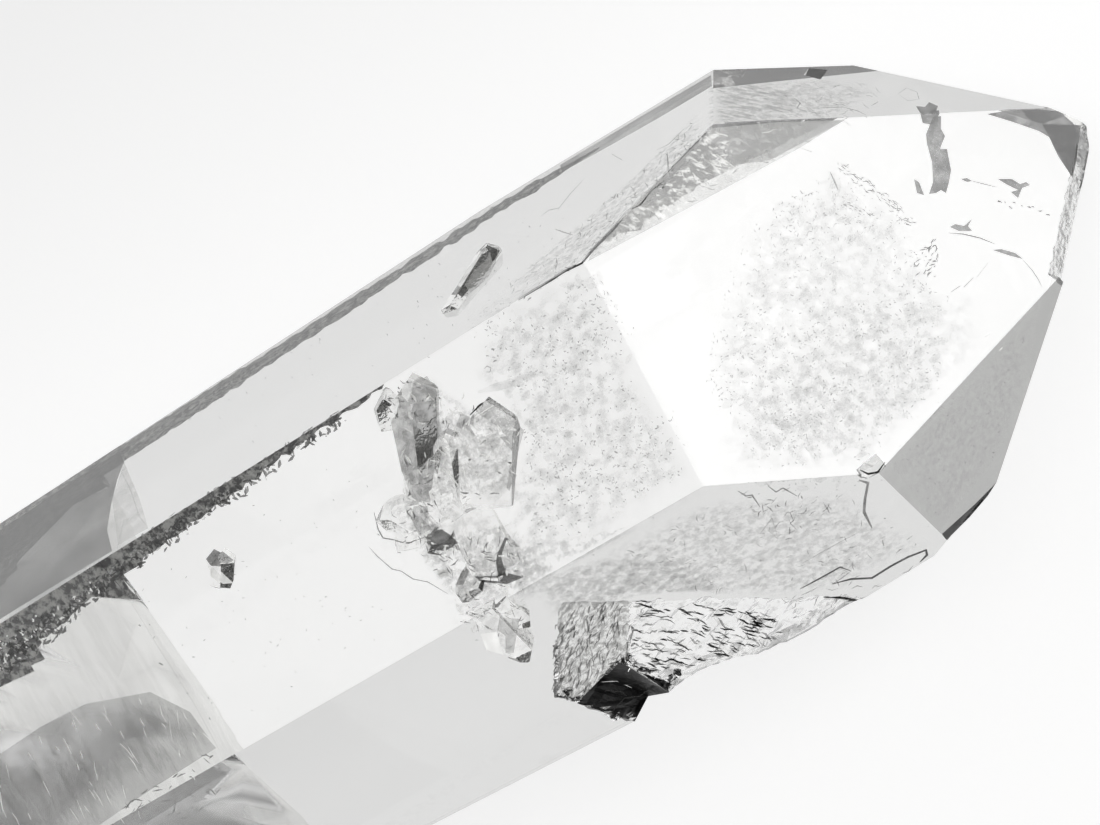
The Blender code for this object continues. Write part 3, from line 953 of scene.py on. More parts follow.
@dataclass
class Marks:
    """Fractures, cracks and specks of one part of the crystal, joined into one piece."""

    heel: Heel
    view: PhotoView
    crystal: bpy.types.Object
    name: str = "marks"
    patches: tuple[Patch, ...] = ()
    lines: tuple[Line, ...] = ()
    scatters: tuple[Scatter, ...] = ()
    thickness: float = 0.02
    longest_step: float = 2.5
    thread_reach: float = 0.5
    end_share: float = 0.35

    def places(self, pixels: Iterable[Pixel], side: Side | None, depth: float) -> list[Vector | None]:
        """Where places in the photograph lie in the scene, each None where the crystal isn't met."""
        return [self.view.place(self.heel, self.crystal, pixel, side, depth) for pixel in pixels]

    def patch(self, patch: Patch, number: int) -> bpy.types.Object:
        """Makes one flat fracture as a thin closed sheet.

        Args:
            patch: the fracture.
            number: its number, for its name.

        Returns:
            The sheet.
        """
        deselect()
        bpy.ops.mesh.primitive_circle_add(vertices=len(patch.outline), radius=MM, fill_type="NGON")
        sheet = bpy.context.object
        sheet.name = f"{self.name}_patch_{number}"
        corners = self.places(patch.outline, patch.side, patch.depth)
        for vertex, corner in zip(sheet.data.vertices, corners):
            vertex.co = corner
        bpy.ops.object.mode_set(mode="EDIT")
        bpy.ops.mesh.select_all(action="SELECT")
        if isinstance(patch.finish, Cloud):
            bpy.ops.mesh.poke()
        else:
            bpy.ops.mesh.quads_convert_to_tris()
        bpy.ops.object.mode_set(mode="OBJECT")
        middle = sheet.data.attributes.new(CLOUD_MIDDLE, "FLOAT", "POINT")
        for index, value in enumerate(middle.data):
            value.value = 0.0 if index < len(corners) else 1.0
        shell = sheet.modifiers.new("thickness", "SOLIDIFY")
        shell.thickness = self.thickness * MM
        shell.offset = 0.0
        apply_modifiers(sheet)
        sheet.data.materials.append(material_of(patch.finish))
        return sheet

    def cracks(self, finish: Finish, lines: list[Line]) -> bpy.types.Object:
        """Makes all cracks of one finish as thin closed threads that taper at their ends.

        Args:
            finish: their finish.
            lines: the cracks.

        Returns:
            The threads, as one mesh.
        """
        deselect()
        curve = bpy.data.curves.new(f"{self.name}_cracks", "CURVE")
        curve.dimensions = "3D"
        curve.bevel_depth = self.thread_reach * MM
        curve.bevel_resolution = 0
        curve.use_fill_caps = True
        for line in lines:
            found = self.places(line.route, line.side, line.depth)
            places = [place for place in found if place]
            steps = [(after - before).length for before, after in zip(places, places[1:])]
            torn = line.side is None and max(steps, default=0.0) > self.longest_step * MM
            if len(places) < len(found) or torn:
                continue
            spline = curve.splines.new("POLY")
            spline.points.add(len(places) - 1)
            for number, (point, place) in enumerate(zip(spline.points, places)):
                end = number in (0, len(places) - 1)
                point.co = (*place, 1.0)
                point.radius = line.width * (self.end_share if end else 1.0)
        threads = bpy.data.objects.new(f"{self.name}_cracks", curve)
        bpy.context.scene.collection.objects.link(threads)
        choose(threads)
        bpy.ops.object.convert(target="MESH")
        threads = bpy.context.object
        threads.data.materials.clear()
        threads.data.materials.append(material_of(finish))
        return threads

    def build(self) -> bpy.types.Object:
        """Makes all of them and joins them.

        Returns:
            The joined piece.
        """
        parts = [self.patch(patch, number) for number, patch in enumerate(self.patches)]
        lines = list(self.lines)
        for scatter in self.scatters:
            lines.extend(scatter.lines())
        for finish in dict.fromkeys(line.finish for line in lines):
            parts.append(self.cracks(finish, [line for line in lines if line.finish == finish]))
        return settle(join_all(parts, self.name))


TIP_CLOUD = ((740, 230), (835, 165), (900, 200), (950, 300), (940, 400), (860, 465), (760, 470), (700, 380))
TIP_CORNER_CLOUD = ((840, 290), (985, 290), (990, 340), (885, 455), (862, 474), (722, 484), (710, 440),
    (770, 380))
TIP_LOWER_AREA = ((1038, 306), (1030, 380), (1000, 450), (940, 530), (892, 466))
TIP_TRIANGLE = ((587, 262), (600, 240), (640, 200), (712, 128), (780, 122), (845, 120), (800, 148),
    (700, 202))


@dataclass
class TipFractures(Marks):
    """Fractures, cracks and specks seen through the front and upper faces of the tip."""

    name: str = "tip_fractures"
    patches: tuple[Patch, ...] = (
        Patch(Side.TIP_FRONT, 1.6, MID_GREY, ((933, 117), (941, 116), (941, 129), (945, 136), (940, 149),
            (947, 149), (951, 170), (949, 182), (946, 193), (941, 190), (936, 193), (929, 194), (933, 182),
            (932, 162), (927, 144), (926, 134))),
        Patch(Side.TIP_UPPER, 1.0, MID_GREY, ((916, 106), (925, 107), (929, 102), (938, 106), (936, 111),
            (938, 115), (930, 117), (922, 116))),
        Patch(Side.TIP_FRONT, 1.6, MID_GREY, ((914, 179), (919, 182), (924, 195), (917, 193))),
        Patch(Side.TIP_FRONT, 1.2, MID_GREY, ((998, 179), (1012, 179), (1020, 184), (1026, 182),
            (1030, 185), (1022, 188), (1018, 198), (1011, 192), (1018, 190), (1006, 184))),
        Patch(Side.TIP_FRONT, 1.2, MID_GREY, ((961, 179), (967, 178), (972, 181), (967, 182))),
        Patch(Side.TIP_FRONT, 1.4, MID_GREY, ((950, 227), (955, 224), (964, 226), (972, 219), (968, 226),
            (972, 231), (959, 231))),
        Patch(Side.TIP_FRONT, 1.2, MID_GREY, ((993, 250), (1001, 249), (1015, 253), (1023, 259),
            (1011, 256))),
        Patch(Side.TIP_FRONT, 0.25, DARK_GREY, ((987, 114), (1010, 110), (1046, 110), (1060, 112),
            (1074, 124), (1079, 140), (1077, 160), (1073, 177), (1066, 168), (1058, 156), (1049, 137),
            (1039, 131), (1010, 121))),
        Patch(Side.TIP_FRONT, 0.4, VEIL, TIP_TRIANGLE),
        Patch(Side.TIP_FRONT, 0.7, STREAKS, TIP_TRIANGLE),
        Patch(Side.TIP_UPPER, 0.6, GREY_CLOUD, ((714, 84), (830, 78), (880, 90), (840, 120), (714, 124))),
        Patch(Side.TIP_UPPER, 1.2, GREY_STREAKS, ((714, 84), (770, 82), (812, 100), (790, 120), (714, 124))),
        Patch(Side.TIP_FRONT, 2.0, FINE_CLOUD, TIP_CLOUD),
        Patch(Side.TIP_FRONT, 1.0, FINE_CLOUD, TIP_CORNER_CLOUD),
        Patch(Side.TIP_LOWER, 0.06, BLACK, ((942, 534), (974, 505), (995, 484), (997, 482), (988, 496),
            (970, 517), (947, 540))),
        Patch(Side.TIP_LOWER, 1.0, SOFT_CLOUD, TIP_LOWER_AREA),
        Patch(Side.TIP_FRONT, 0.5, SHADED_GREY, ((725, 124), (780, 121), (845, 120), (808, 140), (770, 160),
            (735, 165))),
    )
    lines: tuple[Line, ...] = (
        Line(Side.TIP_FRONT, 1.2, SPECK, ((972, 181), (984, 184), (996, 187)), 0.08),
        Line(Side.TIP_FRONT, 1.2, MID_GREY, ((949, 233), (963, 234), (980, 238), (995, 244)), 0.09),
        Line(Side.TIP_FRONT, 1.2, MID_GREY, ((1023, 260), (1032, 270), (1038, 279), (1042, 287)), 0.06),
        Line(Side.TIP_FRONT, 1.0, MID_GREY, ((951, 292), (960, 286)), 0.12),
        Line(Side.TIP_FRONT, 1.0, MID_GREY, ((964, 287), (973, 278)), 0.12),
        Line(Side.TIP_FRONT, 1.0, SPECK, ((977, 277), (988, 263)), 0.08),
        Line(Side.TIP_FRONT, 0.8, SPECK, ((830, 172), (834, 180), (838, 190)), 0.12),
        Line(Side.TIP_FRONT, 0.8, SPECK, ((798, 147), (812, 152)), 0.1),
        Line(Side.TIP_UPPER, 0.5, MID_GREY, ((797, 108), (820, 108), (843, 107), (858, 111), (866, 115)),
            0.08),
        Line(Side.TIP_UPPER, 0.5, MID_GREY, ((793, 97), (800, 103), (797, 108), (806, 112)), 0.08),
        Line(Side.TIP_UPPER, 0.5, SPECK, ((898, 94), (906, 88), (917, 92), (919, 99), (908, 101),
            (898, 94)), 0.05),
        Line(None, 0.03, DARK_GREY, ((1072, 178), (1064, 207), (1058, 232), (1049, 263), (1043, 290)), 0.1),
        Line(None, 0.03, MID_GREY, ((1043, 290), (1000, 338), (960, 382), (918, 432), (886, 459)), 0.05),
        Line(None, 0.03, BLACK, ((860, 470), (868, 474), (878, 472), (885, 462)), 0.16),
        Line(None, 0.03, WHITE, ((863, 462), (872, 465), (880, 460)), 0.3),
        Line(Side.TIP_FRONT, 0.3, WHITE, ((985, 337), (990, 334)), 0.14),
        Line(Side.TIP_FRONT, 0.3, WHITE, ((1000, 350), (1003, 347)), 0.14),
        Line(Side.TIP_FRONT, 0.5, WHITE, ((716, 154), (727, 162), (738, 170)), 0.12),
        Line(Side.TIP_FRONT, 0.5, WHITE, ((677, 194), (693, 201)), 0.12),
    )
    scatters: tuple[Scatter, ...] = (
        Scatter(Side.TIP_FRONT, (0.6, 5.0), SPECK, TIP_CLOUD, 260, (1.0, 3.5), (0.04, 0.09), seed=3,
            clump=16.0),
        Scatter(Side.TIP_FRONT, (0.6, 5.0), FAINT_SPECK, TIP_CLOUD, 900, (1.0, 4.0), (0.05, 0.12), seed=4,
            clump=20.0),
        Scatter(Side.TIP_FRONT, (1.0, 6.0), HAZE, TIP_CLOUD, 160, (6.0, 16.0), (0.3, 0.8), -40, 40, seed=2,
            clump=25.0),
        Scatter(Side.TIP_FRONT, (0.6, 2.0), SPECK, ((836, 160), (848, 164), (896, 200), (918, 224),
            (910, 230), (885, 206), (838, 172)), 70, (2.0, 9.0), (0.05, 0.1), 30, 25, seed=5),
        Scatter(Side.TIP_FRONT, (0.6, 1.2), MID_GREY, ((913, 250), (938, 236), (940, 262), (925, 280),
            (912, 276)), 34, (2.0, 7.0), (0.06, 0.13), -50, 30, seed=6),
        Scatter(Side.TIP_FRONT, (0.8, 1.2), MID_GREY, ((995, 200), (1040, 206), (1054, 213), (1052, 219),
            (1030, 211), (996, 206)), 12, (1.5, 5.0), (0.07, 0.14), 15, 15, seed=7),
        Scatter(Side.TIP_FRONT, (0.8, 1.2), SPECK, ((842, 200), (876, 214), (878, 221), (843, 207)), 12,
            (2.0, 6.0), (0.06, 0.12), 25, 10, seed=8),
        Scatter(Side.TIP_FRONT, (0.5, 1.5), WHITE, TIP_TRIANGLE, 50, (3.0, 13.0), (0.05, 0.16), 25, 20,
            seed=9),
        Scatter(Side.TIP_FRONT, (0.5, 1.5), SPECK, TIP_TRIANGLE, 80, (3.0, 12.0), (0.05, 0.12), 25, 35,
            seed=10),
        Scatter(Side.TIP_UPPER, (0.4, 2.0), SPECK, ((717, 90), (860, 76), (900, 90), (860, 118),
            (716, 124)), 70, (3.0, 12.0), (0.04, 0.08), 20, 25, seed=11),
        Scatter(Side.TIP_LOWER, (0.3, 3.0), SPECK, TIP_LOWER_AREA, 60, (1.0, 3.0), (0.04, 0.07), seed=12),
    )


UPPER_BAND = ((520, 300), (586, 258), (660, 184), (710, 130), (700, 110), (640, 170), (560, 240),
    (500, 290))
UPPER_CONE = ((-8, 536), (68, 484), (120, 451), (124, 462), (117, 480), (111, 505), (107, 530), (112, 551),
    (60, 582), (-8, 624))


@dataclass
class UpperCracks(Marks):
    """Cracks and specks seen through the upper prism face."""

    name: str = "upper_cracks"
    patches: tuple[Patch, ...] = (
        Patch(Side.UPPER, 0.5, GREY_CLOUD, UPPER_BAND),
        Patch(Side.UPPER, 0.25, PALE_GREY, ((455, 298), (464, 286), (472, 274), (483, 264), (487, 256),
            (495, 252), (496, 262), (489, 276), (479, 286), (465, 297))),
        Patch(Side.UPPER, 0.2, DARK_GREY, ((455, 298), (462, 289), (466, 292), (460, 299))),
        Patch(Side.UPPER, 0.2, DARK_GREY, ((487, 256), (495, 252), (496, 260), (490, 262))),
        Patch(Side.UPPER, 0.5, VEIL, ((112, 500), (124, 462), (140, 500), (148, 528), (118, 545))),
        Patch(Side.UPPER, 0.4, SHADE_GREY, UPPER_CONE),
        Patch(Side.UPPER, 0.2, SHADED_GREY, ((560, 165), (600, 141), (660, 105), (711, 75), (712, 86),
            (660, 117), (600, 151), (562, 172))),
    )
    lines: tuple[Line, ...] = (
        Line(Side.UPPER, 0.6, MID_GREY, ((541, 216), (549, 210), (559, 208), (571, 193), (583, 180)), 0.09),
        Line(Side.UPPER, 0.6, MID_GREY, ((555, 229), (563, 232), (573, 235)), 0.1),
        Line(Side.UPPER, 0.6, MID_GREY, ((612, 154), (622, 160)), 0.1),
        Line(Side.UPPER, 0.6, MID_GREY, ((657, 150), (669, 144), (685, 128)), 0.1),
        Line(Side.UPPER, 0.6, DARK_GREY, ((661, 158), (659, 164)), 0.12),
        Line(Side.UPPER, 0.6, DARK_GREY, ((667, 152), (668, 162), (668, 172)), 0.12),
        Line(Side.UPPER, 0.6, DARK_GREY, ((657, 175), (656, 184)), 0.12),
        Line(Side.UPPER, 0.15, BLACK, ((518, 299), (534, 289), (551, 279), (563, 271), (581, 262),
            (593, 248), (614, 227), (626, 211)), 0.14),
        Line(Side.UPPER, 0.15, DARK_GREY, ((626, 211), (640, 203), (651, 189), (663, 180)), 0.1),
        Line(Side.UPPER, 0.5, VEIL, ((120, 459), (114, 480), (109, 502)), 0.12),
        Line(Side.UPPER, 0.5, VEIL, ((122, 473), (131, 491), (139, 516), (147, 527)), 0.12),
        Line(Side.UPPER, 0.5, VEIL, ((125, 516), (121, 532), (117, 549)), 0.1),
        Line(Side.UPPER, 0.5, VEIL, ((100, 514), (97, 524)), 0.1),
    )
    scatters: tuple[Scatter, ...] = (
        Scatter(Side.UPPER, (0.2, 0.8), SPECK, UPPER_BAND, 110, (2.0, 8.0), (0.05, 0.12), -45, 35, seed=21),
        Scatter(Side.UPPER, (0.2, 0.8), MID_GREY, UPPER_BAND, 30, (2.0, 6.0), (0.06, 0.12), -45, 35,
            seed=22),
        Scatter(Side.UPPER, (0.3, 3.0), SPECK, ((180, 420), (440, 260), (600, 160), (560, 260), (400, 360),
            (200, 480)), 60, (1.0, 3.0), (0.04, 0.07), seed=23),
    )


CLUSTER_SPECKS = ((500, 290), (590, 268), (640, 370), (690, 470), (600, 530), (530, 560), (520, 400),
    (470, 340))
CLUSTER_CLOUD = ((485, 296), (590, 268), (640, 370), (700, 480), (620, 532), (540, 572), (496, 590),
    (500, 500), (530, 440), (470, 370))
UPPER_CLUSTER = ((396, 380), (440, 380), (520, 420), (515, 490), (470, 500), (440, 530), (400, 500))
LOWER_CLUSTER = ((378, 497), (412, 495), (430, 540), (520, 520), (530, 600), (515, 655), (470, 640),
    (440, 590))
WALL_BORDER = ((-10, 690), (20, 665), (49, 646), (102, 597), (122, 579), (143, 567), (163, 553), (184, 538),
    (204, 522), (220, 508), (245, 500), (263, 479), (280, 471), (298, 455), (320, 442), (352, 418),
    (345, 414), (300, 442), (220, 492), (140, 545), (81, 590), (0, 640))
BASE_VEIL = ((-12, 762), (40, 727), (85, 704), (150, 692), (190, 712), (216, 748), (150, 790), (98, 826),
    (-12, 832))


@dataclass
class ClusterMarks(Marks):
    """Grey fractures of the grown cluster and the marks around it, seen through the front prism face."""

    name: str = "cluster_marks"
    patches: tuple[Patch, ...] = (
        Patch(Side.FRONT, 0.25, LIGHT_GREY, ((427, 376), (433, 386), (438, 415), (442, 432), (437, 453),
            (432, 468), (428, 502), (420, 500), (414, 495), (409, 480), (402, 462), (397, 443), (393, 426),
            (404, 410), (412, 384))),
        Patch(Side.FRONT, 0.25, LIGHT_GREY, ((500, 403), (507, 415), (524, 430), (516, 461), (507, 489),
            (504, 485), (507, 462), (512, 451), (495, 432), (478, 422), (472, 417), (480, 406))),
        Patch(Side.FRONT, 0.25, LIGHT_GREY, ((456, 426), (461, 413), (470, 417), (470, 434))),
        Patch(Side.FRONT, 0.25, DARK_GREY, ((423, 536), (429, 533), (442, 531), (450, 536), (459, 543),
            (444, 548), (432, 544))),
        Patch(Side.FRONT, 0.25, LIGHT_GREY, ((413, 506), (425, 505), (430, 529), (418, 535), (410, 518))),
        Patch(Side.FRONT, 0.25, DARK_GREY, ((474, 574), (478, 573), (499, 571), (524, 577), (507, 584),
            (478, 582))),
        Patch(Side.FRONT, 0.3, LIGHT_GREY, ((499, 617), (519, 619), (516, 636), (513, 653), (505, 653),
            (505, 636), (497, 630))),
        Patch(Side.FRONT, 0.3, WHITE, ((480, 634), (496, 632), (503, 655), (486, 650))),
        Patch(Side.FRONT, 0.3, WHITE, ((437, 570), (447, 569), (450, 575), (440, 578))),
        Patch(Side.FRONT, 0.1, WHITE, ((207, 565), (216, 567), (233, 583), (222, 583), (212, 575))),
        Patch(Side.FRONT, 0.1, MID_GREY, ((206, 559), (214, 549), (222, 553), (233, 561), (226, 565),
            (210, 565))),
        Patch(Side.FRONT, 5.0, BROWN_HAZE, BASE_VEIL),
        Patch(Side.FRONT, 3.0, FINE_CLOUD, CLUSTER_CLOUD),
        Patch(Side.FRONT, 0.2, THICK_CLOUD, ((396, 380), (436, 378), (470, 404), (520, 425), (515, 490),
            (470, 500), (440, 530), (400, 500))),
        Patch(Side.FRONT, 0.2, THICK_CLOUD, ((378, 497), (412, 495), (430, 540), (505, 524), (560, 570),
            (545, 600), (470, 606), (440, 590))),
        Patch(Side.FRONT, 1.0, GREY_CLOUD, ((430, 575), (520, 545), (600, 530), (640, 522), (600, 545),
            (450, 628))),
    )
    lines: tuple[Line, ...] = (
        Line(None, -0.02, BLACK, ((470, 415), (480, 405), (490, 399)), 0.16),
        Line(None, -0.02, WHITE, ((475, 417), (494, 405)), 0.16),
        Line(None, 0.05, WHITE, ((438, 449), (446, 455)), 0.3),
        Line(None, 0.05, WHITE, ((443, 468), (451, 477), (459, 487)), 0.16),
        Line(None, 0.05, WHITE, ((463, 468), (466, 478), (470, 489)), 0.16),
        Line(None, 0.05, WHITE, ((480, 454), (490, 456)), 0.24),
        Line(None, 0.05, WHITE, ((482, 555), (489, 556)), 0.26),
        Line(None, 0.05, WHITE, ((498, 556), (504, 556)), 0.24),
        Line(Side.FRONT, 0.2, SPECK, ((369, 547), (377, 556), (392, 569), (401, 571), (413, 579),
            (428, 582), (448, 594)), 0.07),
        Line(Side.FRONT, 0.2, MID_GREY, ((374, 512), (378, 529), (383, 538), (408, 542), (423, 537)), 0.1),
        Line(Side.FRONT, 0.8, HAZE, ((478, 392), (497, 387), (516, 381), (535, 373)), 0.6),
        Line(Side.FRONT, 0.3, SPECK, ((484, 369), (487, 366), (491, 368), (490, 372), (486, 372)), 0.06),
        Line(Side.FRONT, 0.3, DARK_GREY, ((159, 663), (163, 665)), 0.24),
        Line(Side.FRONT, 0.3, DARK_GREY, ((192, 657), (195, 657)), 0.14),
        Line(Side.FRONT, 0.3, SPECK, ((242, 598), (245, 598)), 0.12),
        Line(Side.FRONT, 1.5, HAZE, ((121, 586), (160, 650), (195, 705), (219, 750)), 0.1),
        Line(Side.FRONT, 0.1, DARK_GREY, ((260, 463), (264, 473), (267, 481)), 0.06),
        Line(Side.FRONT, 0.1, DARK_GREY, ((98, 561), (111, 576), (122, 589)), 0.06),
    )
    scatters: tuple[Scatter, ...] = (
        Scatter(Side.FRONT, (0.5, 5.0), SPECK, CLUSTER_SPECKS, 170, (1.0, 3.5), (0.04, 0.09), seed=31,
            clump=14.0),
        Scatter(Side.FRONT, (0.5, 5.0), FAINT_SPECK, CLUSTER_SPECKS, 520, (1.0, 4.0), (0.05, 0.12), seed=32,
            clump=18.0),
        Scatter(Side.FRONT, (0.5, 4.0), HAZE, CLUSTER_SPECKS, 90, (6.0, 16.0), (0.3, 0.7), -35, 40, seed=30,
            clump=22.0),
        Scatter(Side.FRONT, (0.3, 1.5), MID_GREY, UPPER_CLUSTER, 60, (3.0, 11.0), (0.05, 0.14), 80, 40,
            seed=33),
        Scatter(None, (0.03, 0.3), WHITE, UPPER_CLUSTER, 60, (3.0, 11.0), (0.08, 0.24), 70, 40, seed=34),
        Scatter(None, (0.03, 0.3), DARK_GREY, ((378, 385), (402, 385), (403, 420), (378, 418)), 16,
            (2.0, 8.0), (0.06, 0.12), 30, 50, seed=35),
        Scatter(None, (0.03, 0.3), MID_GREY, LOWER_CLUSTER, 90, (3.0, 12.0), (0.04, 0.1), 30, 60, seed=36),
        Scatter(None, (0.03, 0.3), WHITE, LOWER_CLUSTER, 60, (2.0, 8.0), (0.08, 0.26), 30, 60, seed=37),
        Scatter(Side.FRONT, (0.4, 1.5), DARK_GREY, WALL_BORDER, 300, (3.0, 9.0), (0.12, 0.3), 60, 60,
            seed=38),
        Scatter(Side.FRONT, (0.3, 1.0), VEIL, WALL_BORDER, 110, (1.5, 5.0), (0.08, 0.24), 60, 60, seed=39),
        Scatter(Side.FRONT, (0.3, 0.6), WHITE, ((-8, 684), (20, 660), (49, 640), (110, 588), (120, 562),
            (60, 600), (-8, 642)), 60, (1.5, 5.0), (0.08, 0.2), 60, 60, seed=43),
        Scatter(Side.FRONT, (3.0, 5.5), HAZE, BASE_VEIL, 120, (18.0, 60.0), (0.2, 0.6), 62, 8, 0.1, seed=40),
        Scatter(Side.FRONT, (3.0, 4.8), WHITE, BASE_VEIL, 46, (5.0, 22.0), (0.04, 0.09), 62, 9, 0.1,
            seed=41),
        Scatter(Side.FRONT, (0.4, 4.0), SPECK, ((230, 520), (370, 430), (390, 620), (330, 700), (230, 740),
            (150, 660), (120, 600)), 70, (1.0, 3.5), (0.04, 0.07), seed=42),
    )


FIBRE_ZONE = ((580, 606), (602, 598), (623, 603), (628, 627), (630, 668), (599, 678), (575, 704),
    (551, 694), (553, 627))
CRACKED_ZONE = ((631, 601), (669, 595), (706, 606), (768, 611), (797, 638), (727, 660), (671, 682),
    (647, 685), (630, 668))


@dataclass
class LowerBreak(Marks):
    """Fibres, wavy cracks and marks seen on and through the lower prism face."""

    name: str = "lower_break"
    patches: tuple[Patch, ...] = (
        Patch(Side.LOWER, 1.0, GREY_CLOUD, ((700, 500), (850, 490), (935, 545), (850, 590), (780, 600),
            (640, 590), (560, 610), (600, 550))),
        Patch(Side.LOWER, 0.4, THICK_CLOUD, ((520, 580), (600, 556), (700, 560), (740, 590), (640, 596),
            (552, 622))),
    )
    lines: tuple[Line, ...] = (
        Line(Side.LOWER, 0.15, BLACK, ((800, 589), (813, 582), (826, 575), (840, 567), (851, 571)), 0.18),
        Line(Side.LOWER, 0.15, DARK_GREY, ((851, 571), (842, 578), (832, 584)), 0.1),
        Line(Side.LOWER, 0.15, BLACK, ((832, 584), (851, 579), (872, 578), (891, 566), (908, 557),
            (926, 550), (927, 555), (920, 562)), 0.24),
        Line(Side.LOWER, 0.15, BLACK, ((824, 598), (837, 598), (856, 601), (848, 602)), 0.2),
        Line(Side.LOWER, 0.4, MID_GREY, ((859, 480), (868, 483), (865, 499), (864, 512), (872, 528)), 0.28),
        Line(Side.LOWER, 0.4, MID_GREY, ((738, 491), (746, 496), (752, 495), (760, 507)), 0.14),
        Line(Side.LOWER, 0.4, MID_GREY, ((768, 486), (776, 492), (783, 488), (797, 496)), 0.14),
        Line(Side.LOWER, 0.4, DARK_GREY, ((760, 534), (772, 518), (778, 539), (768, 530)), 0.1),
        Line(Side.LOWER, 0.8, HAZE, ((703, 590), (716, 591), (730, 593)), 0.5),
        Line(Side.LOWER, 0.8, HAZE, ((741, 570), (766, 571), (794, 574)), 0.5),
        Line(Side.LOWER, 0.4, SPECK, ((800, 565), (820, 553), (840, 542), (861, 531)), 0.06),
        Line(None, 0.03, WHITE, ((725, 602), (742, 604), (768, 616)), 0.22),
        Line(None, 0.03, DARK_GREY, ((551, 694), (575, 704), (598, 678), (615, 676), (647, 685)), 0.12),
        Line(None, 0.03, WHITE, ((601, 682), (617, 681), (632, 688)), 0.08),
        Line(None, 0.03, MID_GREY, ((596, 700), (606, 690), (622, 692), (634, 704), (622, 712)), 0.14),
        Line(None, 0.03, MID_GREY, ((612, 712), (624, 698), (640, 696), (650, 688)), 0.12),
    )
    scatters: tuple[Scatter, ...] = (
        Scatter(None, (0.0, 0.06), BLACK, CRACKED_ZONE, 100, (6.0, 18.0), (0.07, 0.17), 16, 9, 0.25, 3,
            seed=51),
        Scatter(None, (0.0, 0.1), SPECK, CRACKED_ZONE, 70, (5.0, 14.0), (0.08, 0.22), 14, 22, 0.3, 3,
            seed=52),
        Scatter(None, (0.0, 0.1), WHITE, CRACKED_ZONE, 50, (5.0, 16.0), (0.08, 0.2), 14, 16, 0.3, 3,
            seed=53),
        Scatter(None, (0.0, 0.1), DARK_GREY, FIBRE_ZONE, 26, (4.0, 12.0), (0.06, 0.14), -66, 16, 0.25, 2,
            seed=54),
        Scatter(None, (0.0, 0.15), SPECK, FIBRE_ZONE, 130, (6.0, 18.0), (0.08, 0.2), -66, 14, 0.25, 2,
            seed=55),
        Scatter(None, (0.0, 0.1), WHITE, FIBRE_ZONE, 60, (3.0, 11.0), (0.06, 0.15), -66, 18, 0.25, 2,
            seed=56),
        Scatter(Side.LOWER, (0.3, 2.5), SPECK, ((700, 500), (850, 490), (935, 545), (850, 590), (780, 600),
            (640, 590), (620, 550)), 130, (2.0, 9.0), (0.04, 0.1), -25, 50, seed=57),
        Scatter(Side.LOWER, (0.3, 1.0), MID_GREY, ((735, 490), (800, 486), (850, 500), (800, 540),
            (760, 540)), 34, (3.0, 10.0), (0.06, 0.12), -30, 50, seed=58),
        Scatter(Side.LOWER, (0.3, 1.0), DARK_GREY, ((780, 600), (800, 590), (870, 585), (925, 560),
            (850, 605), (798, 636)), 30, (4.0, 14.0), (0.05, 0.11), -25, 25, seed=59),
        Scatter(Side.LOWER, (0.3, 2.0), MID_GREY, ((105, 822), (215, 752), (240, 760), (215, 800),
            (190, 824)), 40, (3.0, 12.0), (0.05, 0.13), -20, 40, seed=60),
    )


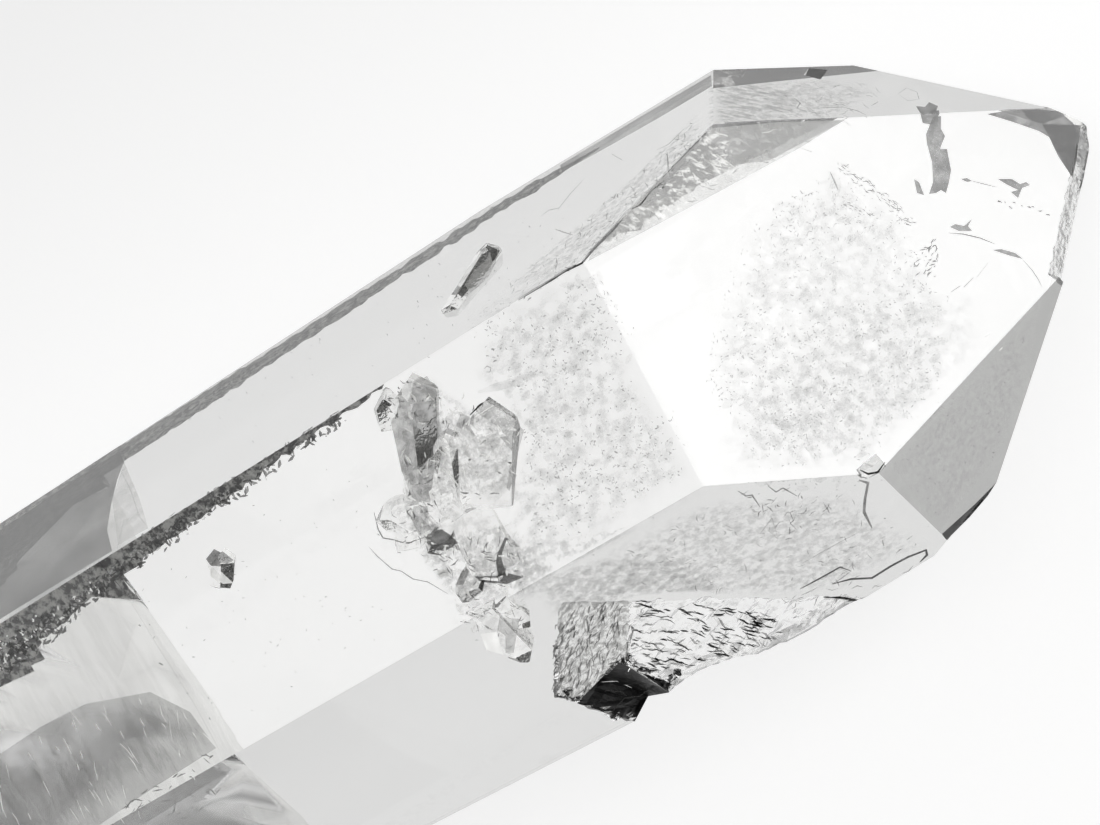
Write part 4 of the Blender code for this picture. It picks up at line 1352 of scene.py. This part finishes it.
@dataclass
class Stage:
    """The pale floor, the soft light and the room's brightness."""

    heel: Heel
    floor_size: float = 3.0
    floor_gap: float = 0.0002
    floor_colour: Quad = (0.45, 0.45, 0.45, 1.0)
    floor_glow: float = 0.745
    floor_glow_far: float = 0.63
    floor_fade_from: float = 0.02
    floor_fade_to: float = 0.055
    room_low: float = 0.16
    room_high: float = 0.75
    room_low_until: float = 0.05
    room_high_from: float = 0.85
    shade_direction: Triple = (-0.465, -0.879, 0.103)
    shade_from: float = 0.1
    shade_full: float = 0.42
    shade_left: float = 0.3
    box_direction: Triple = (0.863, 0.149, 0.484)
    box_distance: float = 0.35
    box_size: float = 0.16
    box_power: float = 0.26
    box_aim: Triple = (16.0, 5.0, -11.0)

    def floor(self) -> bpy.types.Object:
        """Makes the floor, a little below the crystal.

        Returns:
            The floor.
        """
        deselect()
        bpy.ops.mesh.primitive_plane_add(
            size=self.floor_size, location=(0, 0, self.heel.low.z - self.floor_gap)
        )
        floor = bpy.context.object
        floor.name = "pale_floor"
        graph = Graph("pale_floor")
        graph.set(
            Base_Color=self.floor_colour,
            Roughness=0.9,
            Specular_IOR_Level=0.0,
            Emission_Color=(1.0, 1.0, 0.998, 1.0),
        )
        split = graph.node("ShaderNodeSeparateXYZ")
        graph.join(graph.place, split.inputs[0])
        fade = graph.node("ShaderNodeMapRange")
        fade.inputs["From Min"].default_value = self.floor_fade_from
        fade.inputs["From Max"].default_value = self.floor_fade_to
        fade.inputs["To Min"].default_value = self.floor_glow
        fade.inputs["To Max"].default_value = self.floor_glow_far
        graph.join(split.outputs["Y"], fade.inputs["Value"])
        graph.join(fade.outputs["Result"], graph.shader.inputs["Emission Strength"])
        floor.data.materials.append(graph.made)
        return floor

    def room(self) -> None:
        """Makes the room's light: pale overhead, darker at the horizon and darkest beyond the base."""
        world = bpy.data.worlds.new("studio_room")
        bpy.context.scene.world = world
        world.use_nodes = True
        tree = world.node_tree
        place = tree.nodes.new("ShaderNodeTexCoord")
        split = tree.nodes.new("ShaderNodeSeparateXYZ")
        ramp = tree.nodes.new("ShaderNodeValToRGB")
        low, high = ramp.color_ramp.elements
        low.position = self.room_low_until
        low.color = (self.room_low, self.room_low, self.room_low * WARM, 1.0)
        high.position = self.room_high_from
        high.color = (self.room_high, self.room_high, self.room_high, 1.0)
        tree.links.new(place.outputs["Generated"], split.inputs[0])
        tree.links.new(split.outputs["Z"], ramp.inputs["Fac"])
        facing = tree.nodes.new("ShaderNodeVectorMath")
        facing.operation = "DOT_PRODUCT"
        facing.inputs[1].default_value = self.shade_direction
        shade = tree.nodes.new("ShaderNodeMapRange")
        shade.inputs["From Min"].default_value = self.shade_from
        shade.inputs["From Max"].default_value = self.shade_full
        shade.inputs["To Min"].default_value = 1.0
        shade.inputs["To Max"].default_value = self.shade_left
        tree.links.new(place.outputs["Generated"], facing.inputs[0])
        tree.links.new(facing.outputs["Value"], shade.inputs["Value"])
        tree.links.new(ramp.outputs["Color"], tree.nodes["Background"].inputs["Color"])
        tree.links.new(shade.outputs["Result"], tree.nodes["Background"].inputs["Strength"])

    def light(self) -> bpy.types.Object:
        """Adds the large soft light beyond the tip.

        Returns:
            The light.
        """
        toward = Vector(self.box_direction).normalized()
        aim = self.heel.at(self.box_aim)
        bpy.ops.object.light_add(type="AREA", location=aim + toward * self.box_distance)
        box = bpy.context.object
        box.name = "soft_box"
        box.rotation_euler = toward.to_track_quat("Z", "Y").to_euler()
        box.data.shape = "SQUARE"
        box.data.size = self.box_size
        box.data.energy = self.box_power
        box.visible_camera = False
        return box

    def build(self) -> None:
        """Makes the whole stage and sets how the picture's tones are shown."""
        self.floor()
        self.room()
        self.light()
        scene = bpy.context.scene
        scene.view_settings.view_transform = "Standard"
        scene.cycles.max_bounces = 18
        scene.cycles.transmission_bounces = 18
        scene.cycles.glossy_bounces = 8
        scene.cycles.diffuse_bounces = 3
        scene.cycles.transparent_max_bounces = 24


def main() -> None:
    """Builds the scene in order and reports each piece."""
    logging.basicConfig(level=logging.INFO, format="%(name)s: %(message)s")
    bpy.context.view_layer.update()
    heel = Heel.of(frame["nodes"][NODE])
    view = PhotoView()
    view.build(heel)
    crystal = Crystal(heel).build(frame["nodes"][NODE])
    LOG.info("crystal: %d faces", len(crystal.data.polygons))
    for marks in (TipFractures, UpperCracks, ClusterMarks, LowerBreak):
        made = marks(heel, view, crystal).build()
        LOG.info("%s: %d faces", made.name, len(made.data.polygons))
    Stage(heel).build()


if __name__ == "__main__":
    main()
